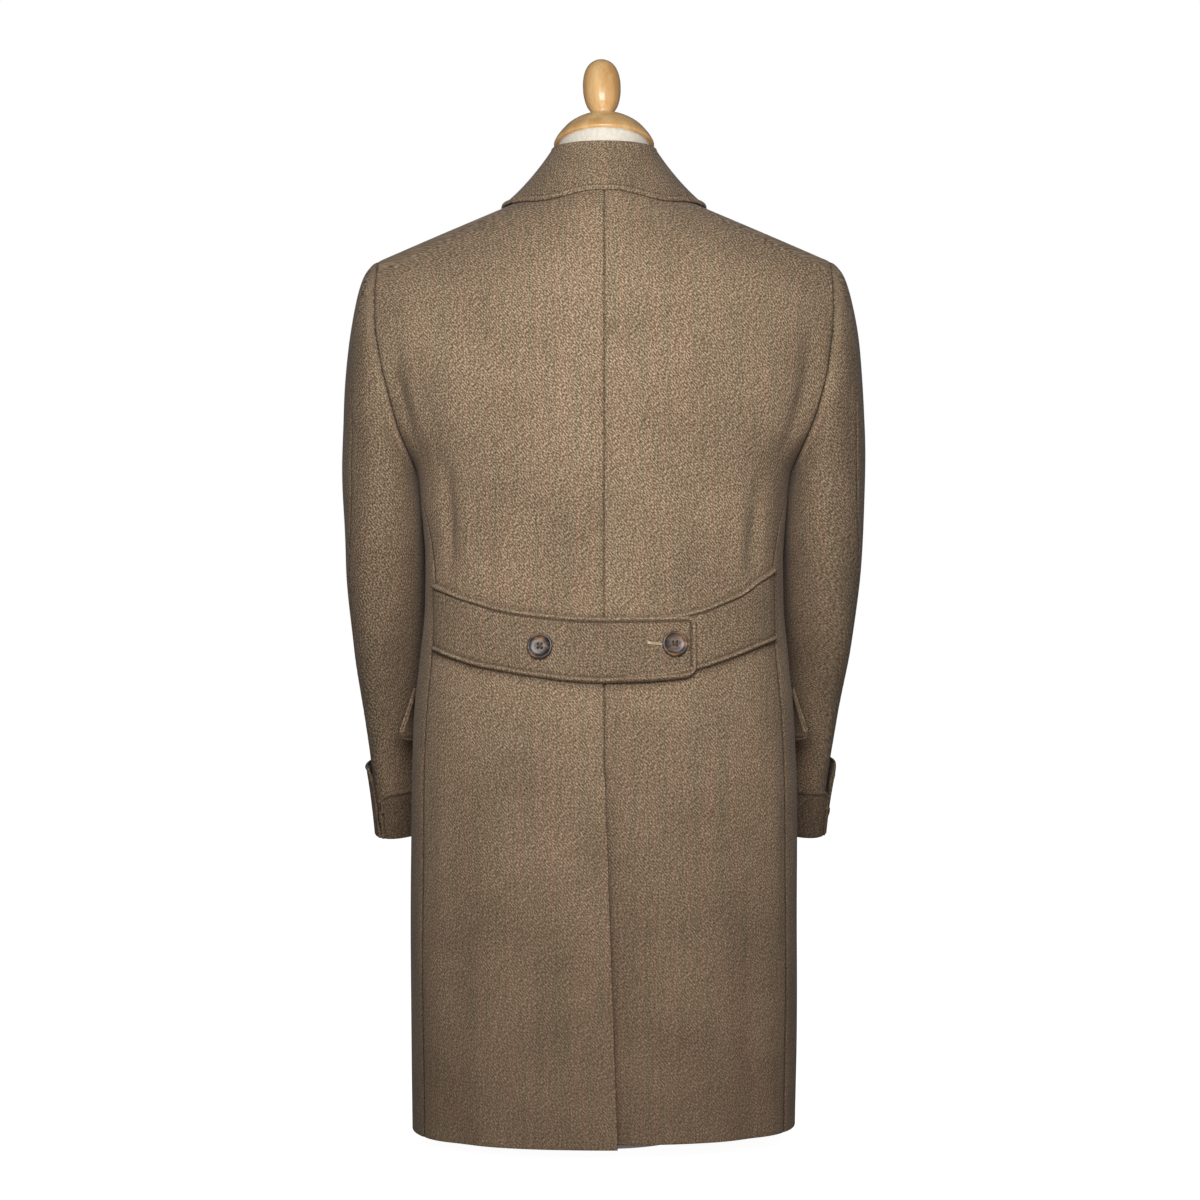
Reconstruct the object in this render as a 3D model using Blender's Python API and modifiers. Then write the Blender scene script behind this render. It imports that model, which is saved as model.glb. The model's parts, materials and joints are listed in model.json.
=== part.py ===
# Covert coat with a half belt, standing on a limbless tailor's dress form.
# Metres, +Z up. The coat's back faces -Y, its front +Y, and the wearer's right side is +X.
# The origin is the middle of the form's base, on the floor.

import math

import bmesh
import bpy
import numpy as np
from mathutils import Vector

for old in list(bpy.data.objects):
    bpy.data.objects.remove(old)

PARTS = bpy.data.collections.new("covert_coat_on_dress_form")
CUTTERS = bpy.data.collections.new("cutters")
bpy.context.scene.collection.children.link(PARTS)
bpy.context.scene.collection.children.link(CUTTERS)
MATERIALS = {}

# Cloth and seams
CLOTH = 0.0020
COLLAR_CLOTH = 0.0018
FOLD_RADIUS = 0.0034
SEAM_GAP = 0.0004
LAY_GAP = 0.0006
BELT_LAY = 0.0014
CUFF_LAY = 0.0016
FLAP_LAY = 0.0010

# Heights and widths of the coat
HEM_HEIGHT = 0.012
HEM_STEP = 0.005
VENT_TOP = 0.387
VENT_OVERLAP = 0.0125
VENT_UNDERLAP = 0.036
VENT_STEP = 0.0034
UNDERARM_HEIGHT = 0.692
TIP_X = 0.2365
NECK_X = 0.0665
NAPE_HEIGHT = 1.006
FRONT_LAP = 0.030
FRONT_STEP = 0.0034

# Shoulder line: a straight slope with a short rise into the neck
SHOULDER_TOP = 1.0214
SHOULDER_SLOPE = 0.435
SHOULDER_ROUND = 0.040
NECK_RISE = 0.022
NECK_RISE_WIDTH = 0.050
BACK_ROUNDING = 0.150
FRONT_ROUNDING = 0.300

# Sleeve seams, as angles round the sleeve from its outer line towards the back
HIND_SEAM = 45.0
FORE_SEAM = 245.0
CUFF_SPLIT = 8.0
CUFF_CORNER = 0.012

# The right sleeve hangs a little further forward and in than the left
SWING_FORWARD = 0.012
SWING_IN = 0.007

# Buttons of the half belt
BUTTON_HEIGHT = 0.0042
BUTTON_HOLE = 0.0011
BUTTON_HOLE_REACH = 0.0026
BUTTON_LAY = 0.0006

# Dress form
BASE_RADIUS = 0.085
BASE_HEIGHT = 0.018
POLE_RADIUS = 0.014
TORSO_BOTTOM = 0.270
FORM_DROP = 0.0030
FORM_NECK_DROP = 0.0150
NECK_HALF_WIDTH = 0.0486
NECK_HALF_DEPTH = 0.0560
CAP_HEIGHT = 1.0366
CAP_TILT = 14.0
FINIAL_LEAN = 2.0


def columns(names, rows):
    """A table kept as named columns."""
    return dict(zip(names.split(), np.array(rows, float).T))


# The coat's outline, one row per level: half width, depths behind and in front of the widest line
BODY = columns("height half_width back front centre square", [
    (0.000, 0.1995, 0.1400, 0.1640, -0.016, 0.020),
    (0.200, 0.2020, 0.1390, 0.1640, -0.016, 0.020),
    (0.350, 0.2015, 0.1360, 0.1640, -0.016, 0.020),
    (0.440, 0.1985, 0.1310, 0.1610, -0.014, 0.022),
    (0.500, 0.1925, 0.1210, 0.1560, -0.012, 0.030),
    (0.560, 0.1872, 0.1140, 0.1520, -0.010, 0.038),
    (0.600, 0.1870, 0.1150, 0.1510, -0.008, 0.040),
    (0.650, 0.1905, 0.1220, 0.1500, -0.006, 0.040),
    (0.692, 0.1945, 0.1300, 0.1500, -0.004, 0.038),
    (0.740, 0.2270, 0.1360, 0.1500, -0.002, 0.026),
    (0.800, 0.2570, 0.1410, 0.1500, 0.000, 0.016),
    (0.860, 0.2680, 0.1420, 0.1470, 0.000, 0.015),
    (0.920, 0.2700, 0.1400, 0.1380, 0.000, 0.015),
    (1.040, 0.2700, 0.1380, 0.1200, 0.000, 0.015),
])

# Side seam, as an angle from the centre back
SIDE_SEAM = columns("height angle", [
    (0.000, 66.0),
    (0.400, 65.5),
    (0.580, 64.5),
    (0.640, 70.0),
    (0.692, 88.5),
])

# Armhole: how far from the centre it is cut in the back and in the front
ARMHOLE = columns("height back_x front_x", [
    (0.692, 0.1945, 0.1945),
    (0.717, 0.2040, 0.2020),
    (0.738, 0.2125, 0.2070),
    (0.767, 0.2205, 0.2110),
    (0.805, 0.2295, 0.2150),
    (0.852, 0.2365, 0.2220),
    (0.887, 0.2375, 0.2300),
    (0.908, 0.2367, 0.2352),
    (0.918, 0.2365, 0.2365),
])

# Largest folds: a line from its top to its bottom, its width and its rise (a trough is below zero)
FOLDS = columns("side top_angle top bottom_angle bottom width rise", [
    (1, 48.0, 0.880, 60.0, 0.680, 0.011, -0.0042),
    (1, 56.0, 0.860, 69.0, 0.690, 0.010, 0.0026),
    (-1, 51.0, 0.860, 62.0, 0.690, 0.011, -0.0032),
    (1, 50.0, 0.700, 49.0, 0.560, 0.013, -0.0040),
    (1, 27.0, 0.640, 26.0, 0.555, 0.012, -0.0028),
    (-1, 51.0, 0.730, 53.0, 0.570, 0.012, -0.0042),
    (-1, 36.0, 0.650, 34.0, 0.560, 0.014, -0.0026),
    (1, 44.0, 0.520, 46.0, -0.300, 0.024, -0.0036),
    (-1, 47.0, 0.500, 43.0, -0.340, 0.026, -0.0032),
    (1, 112.0, 0.430, 116.0, -0.280, 0.026, -0.0040),
    (-1, 108.0, 0.420, 114.0, -0.300, 0.028, -0.0044),
    (1, 128.0, 0.790, 134.0, 0.560, 0.020, -0.0034),
    (-1, 132.0, 0.770, 137.0, 0.550, 0.018, -0.0036),
])

# Sleeve rings: outer and inner points, middle line, half depth, turn about the vertical, forward pitch
SLEEVE = columns("along outer_x outer_z inner_x inner_z centre half_depth turn pitch", [
    (0.00, 0.2365, 0.9170, 0.1950, 0.6920, 0.006, 0.070, 0.0, 0.0),
    (0.04, 0.2500, 0.9050, 0.1946, 0.6900, 0.006, 0.072, 0.0, 0.0),
    (0.10, 0.2605, 0.8740, 0.1938, 0.6860, 0.006, 0.074, 0.0, 0.0),
    (0.18, 0.2685, 0.8260, 0.1921, 0.6770, 0.007, 0.076, 0.0, 0.0),
    (0.28, 0.2735, 0.7620, 0.1909, 0.6620, 0.009, 0.078, 0.0, 0.0),
    (0.40, 0.2755, 0.6900, 0.1893, 0.6340, 0.013, 0.077, 0.0, 0.0),
    (0.55, 0.2715, 0.6000, 0.1885, 0.5780, 0.024, 0.073, 8.0, 5.0),
    (0.68, 0.2610, 0.5200, 0.1898, 0.5110, 0.046, 0.068, 16.0, 10.0),
    (0.80, 0.2475, 0.4470, 0.1845, 0.4430, 0.077, 0.064, 24.0, 13.0),
    (0.90, 0.2370, 0.3860, 0.1800, 0.3840, 0.094, 0.060, 30.0, 15.0),
    (1.00, 0.2315, 0.3220, 0.1780, 0.3220, 0.106, 0.057, 32.0, 15.0),
])

# Cuff: how deep it turns back, by the angle round the sleeve from the split
CUFF = columns("angle depth flare", [
    (0.0, 0.0760, 0.0034),
    (50.0, 0.0700, 0.0022),
    (150.0, 0.0580, 0.0016),
    (250.0, 0.0530, 0.0016),
    (330.0, 0.0510, 0.0022),
    (360.0, 0.0500, 0.0030),
])

# Half belt, seen from the back: its upper and lower edge
BELT_LEFT = columns("x top bottom", [
    (-0.1740, 0.5795, 0.5095),
    (-0.1480, 0.5690, 0.5000),
    (-0.1265, 0.5620, 0.4935),
    (-0.1050, 0.5555, 0.4895),
    (-0.0645, 0.5490, 0.4830),
    (-0.0240, 0.5455, 0.4785),
    (0.0000, 0.5447, 0.4776),
    (0.0360, 0.5450, 0.4785),
    (0.0700, 0.5455, 0.4808),
    (0.0920, 0.5460, 0.4835),
])
BELT_RIGHT = columns("x top bottom", [
    (0.0200, 0.5440, 0.4800),
    (0.0700, 0.5480, 0.4850),
    (0.0980, 0.5540, 0.4920),
    (0.1185, 0.5620, 0.4985),
    (0.1400, 0.5720, 0.5065),
    (0.1605, 0.5870, 0.5150),
    (0.1740, 0.5960, 0.5200),
])
BELT_END_ROUND = 0.011
BUTTON_PLACES = ((-0.0640, 0.5145), (0.0700, 0.5165))

# Collar: foot, fold and edge as radii in plan from the neck's middle, by the angle from the centre back
COLLAR = columns("angle foot_radius foot_height fold_radius fold_height edge_radius sag", [
    (0.0, 0.0690, 1.0090, 0.0660, 1.0350, 0.1045, 0.0030),
    (29.0, 0.0615, 1.0060, 0.0600, 1.0355, 0.0985, 0.0005),
    (58.0, 0.0582, 1.0007, 0.0552, 1.0355, 0.0972, -0.0045),
    (74.0, 0.0617, 0.9972, 0.0532, 1.0355, 0.1010, -0.0070),
    (90.0, 0.0655, 0.9945, 0.0525, 1.0350, 0.1075, -0.0080),
    (112.0, 0.0690, 0.9890, 0.0590, 1.0150, 0.1130, -0.0050),
    (124.0, 0.0735, 0.9800, 0.0675, 0.9960, 0.1150, -0.0020),
    (135.0, 0.0820, 0.9670, 0.0810, 0.9770, 0.1190, 0.0000),
])
COLLAR_END = 135.0

# Lapel: its width down the roll line, and how far its top edge drops from the roll line outwards
LAPEL = columns("down width", [
    (0.00, 0.0740),
    (0.12, 0.0800),
    (0.35, 0.0700),
    (0.60, 0.0490),
    (0.85, 0.0230),
    (1.00, 0.0060),
])
LAPEL_EDGE = columns("across drop", [
    (0.00, 0.000),
    (0.25, 0.030),
    (0.50, 0.050),
    (0.75, 0.062),
    (1.00, 0.070),
])
LAPEL_TOP = 0.954

# Pocket flap on each front, by the angle from the centre back
FLAP_REAR = 92.0
FLAP_FRONT = 143.0
FLAP_TOP = 0.4690
FLAP_DEPTH = 0.054
FLAP_SLANT = 0.010
FLAP_FLARE = 0.0115
FLAP_CORNER = 0.016

# Dress form's torso, one row per level
TORSO = columns("height half_width back front centre", [
    (0.270, 0.1450, 0.1000, 0.1050, 0.000),
    (0.285, 0.1560, 0.1080, 0.1130, 0.000),
    (0.340, 0.1660, 0.1160, 0.1220, 0.000),
    (0.420, 0.1660, 0.1160, 0.1240, 0.000),
    (0.500, 0.1570, 0.1040, 0.1200, 0.000),
    (0.580, 0.1480, 0.0960, 0.1160, 0.000),
    (0.650, 0.1560, 0.1040, 0.1220, 0.000),
    (0.720, 0.1680, 0.1160, 0.1300, 0.000),
    (0.800, 0.1760, 0.1240, 0.1320, 0.000),
    (1.040, 0.1800, 0.1260, 0.1320, 0.000),
])

CAP_PROFILE = (
    (0.0000, 0.0000), (0.0500, 0.0000), (0.0535, 0.0016), (0.0545, 0.0050), (0.0535, 0.0085),
    (0.0490, 0.0120), (0.0430, 0.0165), (0.0335, 0.0240), (0.0232, 0.0300), (0.0160, 0.0335),
    (0.0125, 0.0350), (0.0000, 0.0350),
)
FINIAL_PROFILE = (
    (0.0000, 0.0358), (0.0112, 0.0358), (0.0108, 0.0380), (0.0128, 0.0416), (0.0163, 0.0474),
    (0.0186, 0.0550), (0.0198, 0.0636), (0.0199, 0.0716), (0.0190, 0.0796), (0.0168, 0.0872),
    (0.0125, 0.0936), (0.0065, 0.0975), (0.0000, 0.0986),
)
BUTTON_PROFILE = (
    (0.0000, 0.0000), (0.0098, 0.0000), (0.0122, 0.0010), (0.0130, 0.0024), (0.0126, 0.0038),
    (0.0114, 0.0042), (0.0098, 0.0034), (0.0078, 0.0027), (0.0000, 0.0027),
)

# How finely the pieces are faceted
PANEL_COLUMNS = 11
LOWER_ROWS = 15
UPPER_ROWS = 11
SLEEVE_ROWS = 21
# Rows at which a long piece is cut across, and the names of its lengths
SLEEVE_CUTS = (6, 10, 13, 16)
SLEEVE_CUT_GAPS = (0.0013, 0.0005, 0.0005, 0.0005)
SLEEVE_LENGTHS = ("head", "upper", "elbow", "fore", "wrist")
PANEL_CUTS = (10,)
PANEL_CUT_GAPS = (0.0005,)
PANEL_LENGTHS = ("skirt", "bodice")
TURN_STEPS = 32


def smooth(at, xs, ys):
    """Value of a table's column between its rows: a cubic that never overshoots them."""
    at = np.clip(np.asarray(at, float), xs[0], xs[-1])
    step = np.diff(xs)
    rise = np.diff(ys) / step
    slope = np.zeros(len(xs))
    before, after = rise[:-1], rise[1:]
    same = before * after > 0
    slope[1:-1][same] = 2 * before[same] * after[same] / (before[same] + after[same])
    slope[0], slope[-1] = rise[0], rise[-1]
    i = np.clip(np.searchsorted(xs, at, side="right") - 1, 0, len(step) - 1)
    f = (at - xs[i]) / step[i]
    low = ys[i] * (1 + 2 * f) * (1 - f) ** 2 + step[i] * slope[i] * f * (1 - f) ** 2
    return low + ys[i + 1] * f ** 2 * (3 - 2 * f) - step[i] * slope[i + 1] * f ** 2 * (1 - f)


def ease(value):
    """From 0 to 1 with a level start and end."""
    value = np.clip(value, 0.0, 1.0)
    return value * value * (3 - 2 * value)


def rounded_off(inside, radius):
    """How much a rounded corner takes off, by the distance inside the end."""
    left = radius - np.minimum(inside, radius)
    return radius - np.sqrt(np.maximum(radius ** 2 - left ** 2, 0.0))


def section(table, height):
    return {name: smooth(height, table["height"], column) for name, column in table.items()}


def ridge_height(x):
    """Height of the shoulder line at a distance from the centre."""
    slope = SHOULDER_TOP - SHOULDER_SLOPE * np.hypot(x, SHOULDER_ROUND)
    return slope + NECK_RISE * np.exp(-(x / NECK_RISE_WIDTH) ** 2)


def around(angle, square):
    """Unit outline at an angle from the centre back: across and backwards."""
    across = (np.sin(angle) + square * np.sin(3 * angle)) / (1 - square)
    backwards = (np.cos(angle) - square * np.cos(3 * angle)) / (1 - square)
    return across, backwards


def fold_rise(angle, height):
    """How far the folds lift or sink the cloth."""
    total = np.zeros(np.broadcast(angle, height).shape)
    for i in range(len(FOLDS["side"])):
        row = {name: column[i] for name, column in FOLDS.items()}
        down = np.clip((row["top"] - height) / (row["top"] - row["bottom"]), 0.0, 1.0)
        line = np.radians(row["top_angle"] + down * (row["bottom_angle"] - row["top_angle"]))
        across = (angle * row["side"] - line) * 0.19 / row["width"]
        total = total + row["rise"] * np.exp(-across ** 2) * np.sin(np.pi * down) ** 2
    return total


def roof(height, x, backwards):
    """1 on the upright walls, bending over to 0 at the shoulder line."""
    rounding = np.where(backwards >= 0, BACK_ROUNDING, FRONT_ROUNDING)
    below = np.clip((ridge_height(x) - height) / rounding, 0.0, 1.0)
    return np.sqrt(1 - (1 - below) ** 2)


def body_point(angle, height):
    """Point on the coat's outer surface, at an angle from the centre back (+ towards +X)."""
    level = section(BODY, height)
    across, backwards = around(angle, level["square"])
    x = level["half_width"] * across
    depth = np.where(backwards >= 0, level["back"], level["front"])
    y = level["centre"] - depth * backwards * roof(height, x, backwards)
    lean = np.hypot(across / level["half_width"], backwards / depth)
    lift = fold_rise(angle, height) / lean
    x = x + lift * across / level["half_width"]
    y = y - lift * backwards / depth
    return np.stack(np.broadcast_arrays(x, y, height), axis=-1)


def angle_at(x, height):
    """Angle on the back half where the outline is a distance from the centre."""
    level = section(BODY, height)
    square = level["square"]
    wanted = np.clip(x / level["half_width"], -1.0, 1.0) * (1 - square)
    sine = wanted
    for _ in range(8):
        error = sine * (1 + 3 * square) - 4 * square * sine ** 3 - wanted
        sine = sine - error / (1 + 3 * square - 12 * square * sine ** 2)
    return np.arcsin(np.clip(sine, -1.0, 1.0))


def normals_of(points):
    """Unit normal at each point of a grid, on the side that the rows and columns give it."""
    along_u = np.gradient(points, axis=1, edge_order=2)
    along_v = np.gradient(points, axis=0, edge_order=2)
    normal = np.cross(along_u, along_v)
    return normal / np.linalg.norm(normal, axis=-1, keepdims=True)


def facing(normal, points, centre):
    """The same normals, all turned away from an upright line through a point in plan."""
    away = points[..., :2] - np.asarray(centre)
    inward = np.sum(normal[..., :2] * away, axis=-1).sum() < 0
    return -normal if inward else normal


def mirrored(points, side):
    return points * np.array([side, 1.0, 1.0])


def material(name, colour, roughness, metallic=0.0):
    made = bpy.data.materials.new(name)
    made.use_nodes = True
    shader = made.node_tree.nodes["Principled BSDF"]
    shader.inputs["Base Color"].default_value = (*colour, 1.0)
    shader.inputs["Roughness"].default_value = roughness
    shader.inputs["Metallic"].default_value = metallic
    made.diffuse_color = (*colour, 1.0)
    MATERIALS[name] = made


def new_object(name, vertices, faces, material_name):
    mesh = bpy.data.meshes.new(name)
    mesh.from_pydata([tuple(v) for v in vertices], [], faces)
    shaped = bmesh.new()
    shaped.from_mesh(mesh)
    if faces:
        bmesh.ops.recalc_face_normals(shaped, faces=shaped.faces)
    shaped.to_mesh(mesh)
    shaped.free()
    mesh.materials.append(MATERIALS[material_name])
    made = bpy.data.objects.new(name, mesh)
    PARTS.objects.link(made)
    return made


def cloth_wall(name, outer, inner, material_name="covert_cloth"):
    """A closed cloth wall between two grids of points."""
    rows, cols = outer.shape[:2]
    half = rows * cols
    index = np.arange(half).reshape(rows, cols)
    faces = []
    for r in range(rows - 1):
        for c in range(cols - 1):
            a, b = index[r, c], index[r, c + 1]
            d, e = index[r + 1, c + 1], index[r + 1, c]
            faces.append((a, b, d, e))
            faces.append((e + half, d + half, b + half, a + half))
    rim = np.concatenate([index[0, :-1], index[:-1, -1], index[-1, :0:-1], index[:0:-1, 0]])
    for i in range(len(rim)):
        a, b = rim[i], rim[(i + 1) % len(rim)]
        faces.append((b, a, a + half, b + half))
    faces = [tuple(int(v) for v in face) for face in faces]
    vertices = np.concatenate([outer.reshape(-1, 3), inner.reshape(-1, 3)])
    return new_object(name, vertices, faces, material_name)


def cloth_lengths(name, outer, inner, cuts, gaps, labels):
    """A long wall in lengths that lie a hair apart, so that each is short beside its own curve."""
    ends = [0, *cuts, len(outer) - 1]
    for first, last, gap, label in zip(ends[:-1], ends[1:], (0.0, *gaps), labels):
        outside = outer[first:last + 1].copy()
        inside = inner[first:last + 1].copy()
        step = np.linalg.norm(outside[1] - outside[0], axis=-1, keepdims=True)
        outside[0] += (outside[1] - outside[0]) * gap / step
        inside[0] += (inside[1] - inside[0]) * gap / step
        cloth_wall(f"{name}_{label}", outside, inside)


def lathe(name, profile, steps, material_name):
    """A turned piece: the profile in radius and height, screwed round Z."""
    vertices = [(radius, 0.0, height) for radius, height in profile]
    mesh = bpy.data.meshes.new(name)
    mesh.from_pydata(vertices, [(i, i + 1) for i in range(len(vertices) - 1)], [])
    mesh.materials.append(MATERIALS[material_name])
    made = bpy.data.objects.new(name, mesh)
    PARTS.objects.link(made)
    turn = made.modifiers.new("Turn", "SCREW")
    turn.angle = math.tau
    turn.steps = steps
    turn.render_steps = steps
    turn.use_merge_vertices = True
    turn.merge_threshold = 0.0001
    turn.use_normal_flip = True
    return made


def top_height(x):
    """Top edge of the back: the neckline, then the shoulder line."""
    neck_side = ridge_height(NECK_X)
    neckline = neck_side + (NAPE_HEIGHT - neck_side) * (1 - (x / NECK_X) ** 2)
    return np.where(np.abs(x) < NECK_X, neckline, ridge_height(x))


def lower_heights(side):
    below = np.linspace(HEM_HEIGHT + (HEM_STEP if side > 0 else 0.0), 0.44, 8)
    above = np.linspace(0.44, UNDERARM_HEIGHT, LOWER_ROWS - 7)[1:]
    return np.concatenate([below, above])


def upper_shares():
    """Shares of the way from the underarm to the shoulder, closer together near the shoulder."""
    share = np.linspace(0.0, 1.0, UPPER_ROWS + 1)[1:]
    return 1 - (1 - share) ** 1.6


def upper_rows(start, end, shares, angles_of, ceiling):
    """Angle and height of the rows between the underarm and the shoulder."""
    angle, height = [], []
    for share in shares:
        row_angle = angles_of(share)
        row_height = np.full(row_angle.shape, UNDERARM_HEIGHT + share * (end - start))
        for _ in range(6):
            level = section(BODY, row_height)
            x = level["half_width"] * around(row_angle, level["square"])[0]
            row_height = UNDERARM_HEIGHT + share * (ceiling(x) - UNDERARM_HEIGHT)
        angle.append(row_angle)
        height.append(row_height)
    return np.array(angle), np.array(height)


def make_back(side):
    """One back panel, from the centre seam to the side seam, the armhole and the shoulder."""
    tip = ridge_height(TIP_X)
    neck_share = float(angle_at(NECK_X, tip) / angle_at(TIP_X, tip))
    inner_columns = np.linspace(0.0, neck_share, 4)
    share = np.concatenate([inner_columns, np.linspace(neck_share, 1.0, PANEL_COLUMNS - 3)[1:]])
    heights = lower_heights(side)
    half = section(BODY, heights)["half_width"]
    down = np.clip((VENT_TOP - heights) / (VENT_TOP - HEM_HEIGHT), 0.0, 1.0)
    if side < 0:
        reach = -VENT_OVERLAP * down
    else:
        reach = np.where(heights < VENT_TOP - 0.05, -VENT_UNDERLAP, 0.0)
    start = (SEAM_GAP / 2 + reach) / (half * 1.06)
    seam = np.radians(smooth(heights, SIDE_SEAM["height"], SIDE_SEAM["angle"]))
    seam = seam - SEAM_GAP / 0.16
    low_angle = start[:, None] + share[None, :] * (seam - start)[:, None]
    low_height = np.repeat(heights[:, None], len(share), axis=1)

    def angles_of(level_share):
        edge_height = UNDERARM_HEIGHT + level_share * (tip - UNDERARM_HEIGHT)
        edge_x = smooth(edge_height, ARMHOLE["height"], ARMHOLE["back_x"])
        first = SEAM_GAP / 2 / 0.25
        return first + share * (angle_at(edge_x, edge_height) - first)

    shares = upper_shares()
    angle, height = upper_rows(UNDERARM_HEIGHT, tip, shares, angles_of, top_height)
    angle = np.concatenate([low_angle, angle])
    height = np.concatenate([low_height, height])
    points = body_point(angle * side, height)
    on_shoulder = np.abs(points[-1, :, 0]) >= NECK_X - 1e-6
    points[-1, on_shoulder, 1] -= SEAM_GAP / 2
    normal = facing(normals_of(points), points, (0.0, 0.0))
    normal[-1, on_shoulder, 1] = 0.0
    normal /= np.linalg.norm(normal, axis=-1, keepdims=True)
    out = np.zeros(angle.shape)
    if side > 0:
        near = ease((0.034 - points[..., 0]) / 0.018)
        out = -VENT_STEP * near * ease((VENT_TOP + 0.03 - height) / 0.04)
    name = "back_left" if side < 0 else "back_right"
    outer = points + normal * out[..., None]
    cloth_lengths(name, outer, outer - normal * CLOTH, PANEL_CUTS, PANEL_CUT_GAPS, PANEL_LENGTHS)


def front_edge_x(share):
    """Roll line of the front: from past the centre front up to the neck."""
    return -FRONT_LAP + share * (NECK_X + FRONT_LAP)


def make_front(side):
    """One front panel with its side body, from the side seam round to past the centre front."""
    share = np.linspace(0.0, 1.0, PANEL_COLUMNS + 3)
    tip = ridge_height(TIP_X)
    heights = lower_heights(side)
    half = section(BODY, heights)["half_width"]
    seam = np.radians(smooth(heights, SIDE_SEAM["height"], SIDE_SEAM["angle"]))
    seam = seam + SEAM_GAP / 0.16
    end = math.pi + FRONT_LAP / (half * 1.06)
    low_angle = seam[:, None] + share[None, :] * (end - seam)[:, None]
    low_height = np.repeat(heights[:, None], len(share), axis=1)

    def angles_of(level_share):
        edge_height = UNDERARM_HEIGHT + level_share * (tip - UNDERARM_HEIGHT)
        edge_x = smooth(edge_height, ARMHOLE["height"], ARMHOLE["front_x"])
        first = math.pi - angle_at(edge_x, edge_height)
        roll_height = UNDERARM_HEIGHT + level_share * (ridge_height(NECK_X) - UNDERARM_HEIGHT)
        last = math.pi - angle_at(front_edge_x(level_share), roll_height)
        return first + share * (last - first)

    def ceiling(x):
        return ridge_height(np.maximum(x, NECK_X))

    shares = upper_shares()
    angle, height = upper_rows(UNDERARM_HEIGHT, tip, shares, angles_of, ceiling)
    angle = np.concatenate([low_angle, angle])
    height = np.concatenate([low_height, height])
    points = body_point(angle * side, height)
    points[-1, :, 1] += SEAM_GAP / 2
    normal = facing(normals_of(points), points, (0.0, 0.0))
    normal[-1, :, 1] = 0.0
    normal /= np.linalg.norm(normal, axis=-1, keepdims=True)
    out = np.zeros(angle.shape)
    if side > 0:
        low = ease((0.880 - height) / 0.08)
        out = -FRONT_STEP * ease((0.066 - points[..., 0]) / 0.026) * low
    name = "front_left" if side < 0 else "front_right"
    outer = points + normal * out[..., None]
    cloth_lengths(name, outer, outer - normal * CLOTH, PANEL_CUTS, PANEL_CUT_GAPS, PANEL_LENGTHS)


def armhole_point(turn):
    """The armhole's loop: 0 at the shoulder tip, a quarter turn at the back, half at the underarm."""
    tip = ridge_height(TIP_X)
    middle, reach = (tip + UNDERARM_HEIGHT) / 2, (tip - UNDERARM_HEIGHT) / 2
    height = middle + reach * np.cos(turn)
    back = np.sin(turn) >= 0
    x = np.where(
        back,
        smooth(height, ARMHOLE["height"], ARMHOLE["back_x"]),
        smooth(height, ARMHOLE["height"], ARMHOLE["front_x"]),
    )
    angle = angle_at(x, height)
    return body_point(np.where(back, angle, math.pi - angle), height)


def sleeve_ring(turn, along, side):
    """Point on the sleeve, at a turn round it and a share of the way down it, armhole left aside."""
    swing = ease((np.asarray(along) - 0.45) / 0.5) * (side > 0)
    row = {name: smooth(along, SLEEVE["along"], column) for name, column in SLEEVE.items()}
    reach_x = np.cos(turn) * (row["outer_x"] - row["inner_x"]) / 2
    reach_z = np.cos(turn) * (row["outer_z"] - row["inner_z"]) / 2
    reach_y = np.sin(turn) * row["half_depth"]
    twist, pitch = np.radians(row["turn"]), np.radians(row["pitch"])
    x = (row["outer_x"] + row["inner_x"]) / 2 + reach_x * np.cos(twist) + reach_y * np.sin(twist)
    forward = reach_x * np.sin(twist) - reach_y * np.cos(twist)
    z = (row["outer_z"] + row["inner_z"]) / 2 + reach_z + forward * np.tan(pitch)
    y = row["centre"] + SWING_FORWARD * swing + forward
    return np.stack(np.broadcast_arrays(x - SWING_IN * swing, y, z), axis=-1)


def sleeve_point(turn, along, side):
    start = armhole_point(turn) + np.array([0.0012, 0.0, 0.0])
    fade = 1 - ease(np.asarray(along) / 0.34)
    return sleeve_ring(turn, along, side) + (start - sleeve_ring(turn, 0.0, side)) * fade[..., None]


def sleeve_shell(turns, shares, side):
    """Points and outward normals of the sleeve on a grid of turns and shares."""
    turn, along = np.meshgrid(turns, shares)
    nudge = 1e-3
    points = sleeve_point(turn, along, side)
    around_it = sleeve_point(turn + nudge, along, side) - sleeve_point(turn - nudge, along, side)
    ahead = np.minimum(along + nudge, 1.0)
    behind = np.maximum(along - nudge, 0.0)
    down_it = sleeve_point(turn, ahead, side) - sleeve_point(turn, behind, side)
    normal = np.cross(around_it, down_it)
    normal /= np.linalg.norm(normal, axis=-1, keepdims=True)
    middle = sleeve_ring(turn, along, side) - sleeve_ring(turn + math.pi, along, side)
    if np.sum(normal * middle) < 0:
        normal = -normal
    return points, normal


def sleeve_shares():
    cap = np.linspace(0.0, 0.28, 8)
    arm = np.linspace(0.28, 1.0, SLEEVE_ROWS - 7)[1:]
    return np.concatenate([cap, arm])


def make_sleeve(side):
    """Top and under sleeve of one side."""
    label = "left" if side < 0 else "right"
    gap = math.degrees(SEAM_GAP / 2 / 0.060)
    spans = {
        "under_sleeve_": (HIND_SEAM + gap, FORE_SEAM - gap, 13),
        "top_sleeve_": (FORE_SEAM - 360 + gap, HIND_SEAM - gap, 12),
    }
    for name, (first, last, count) in spans.items():
        turns = np.radians(np.linspace(first, last, count))
        points, normal = sleeve_shell(turns, sleeve_shares(), side)
        inner = points - normal * CLOTH
        outer, inner = mirrored(points, side), mirrored(inner, side)
        cloth_lengths(name + label, outer, inner, SLEEVE_CUTS, SLEEVE_CUT_GAPS, SLEEVE_LENGTHS)


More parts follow.
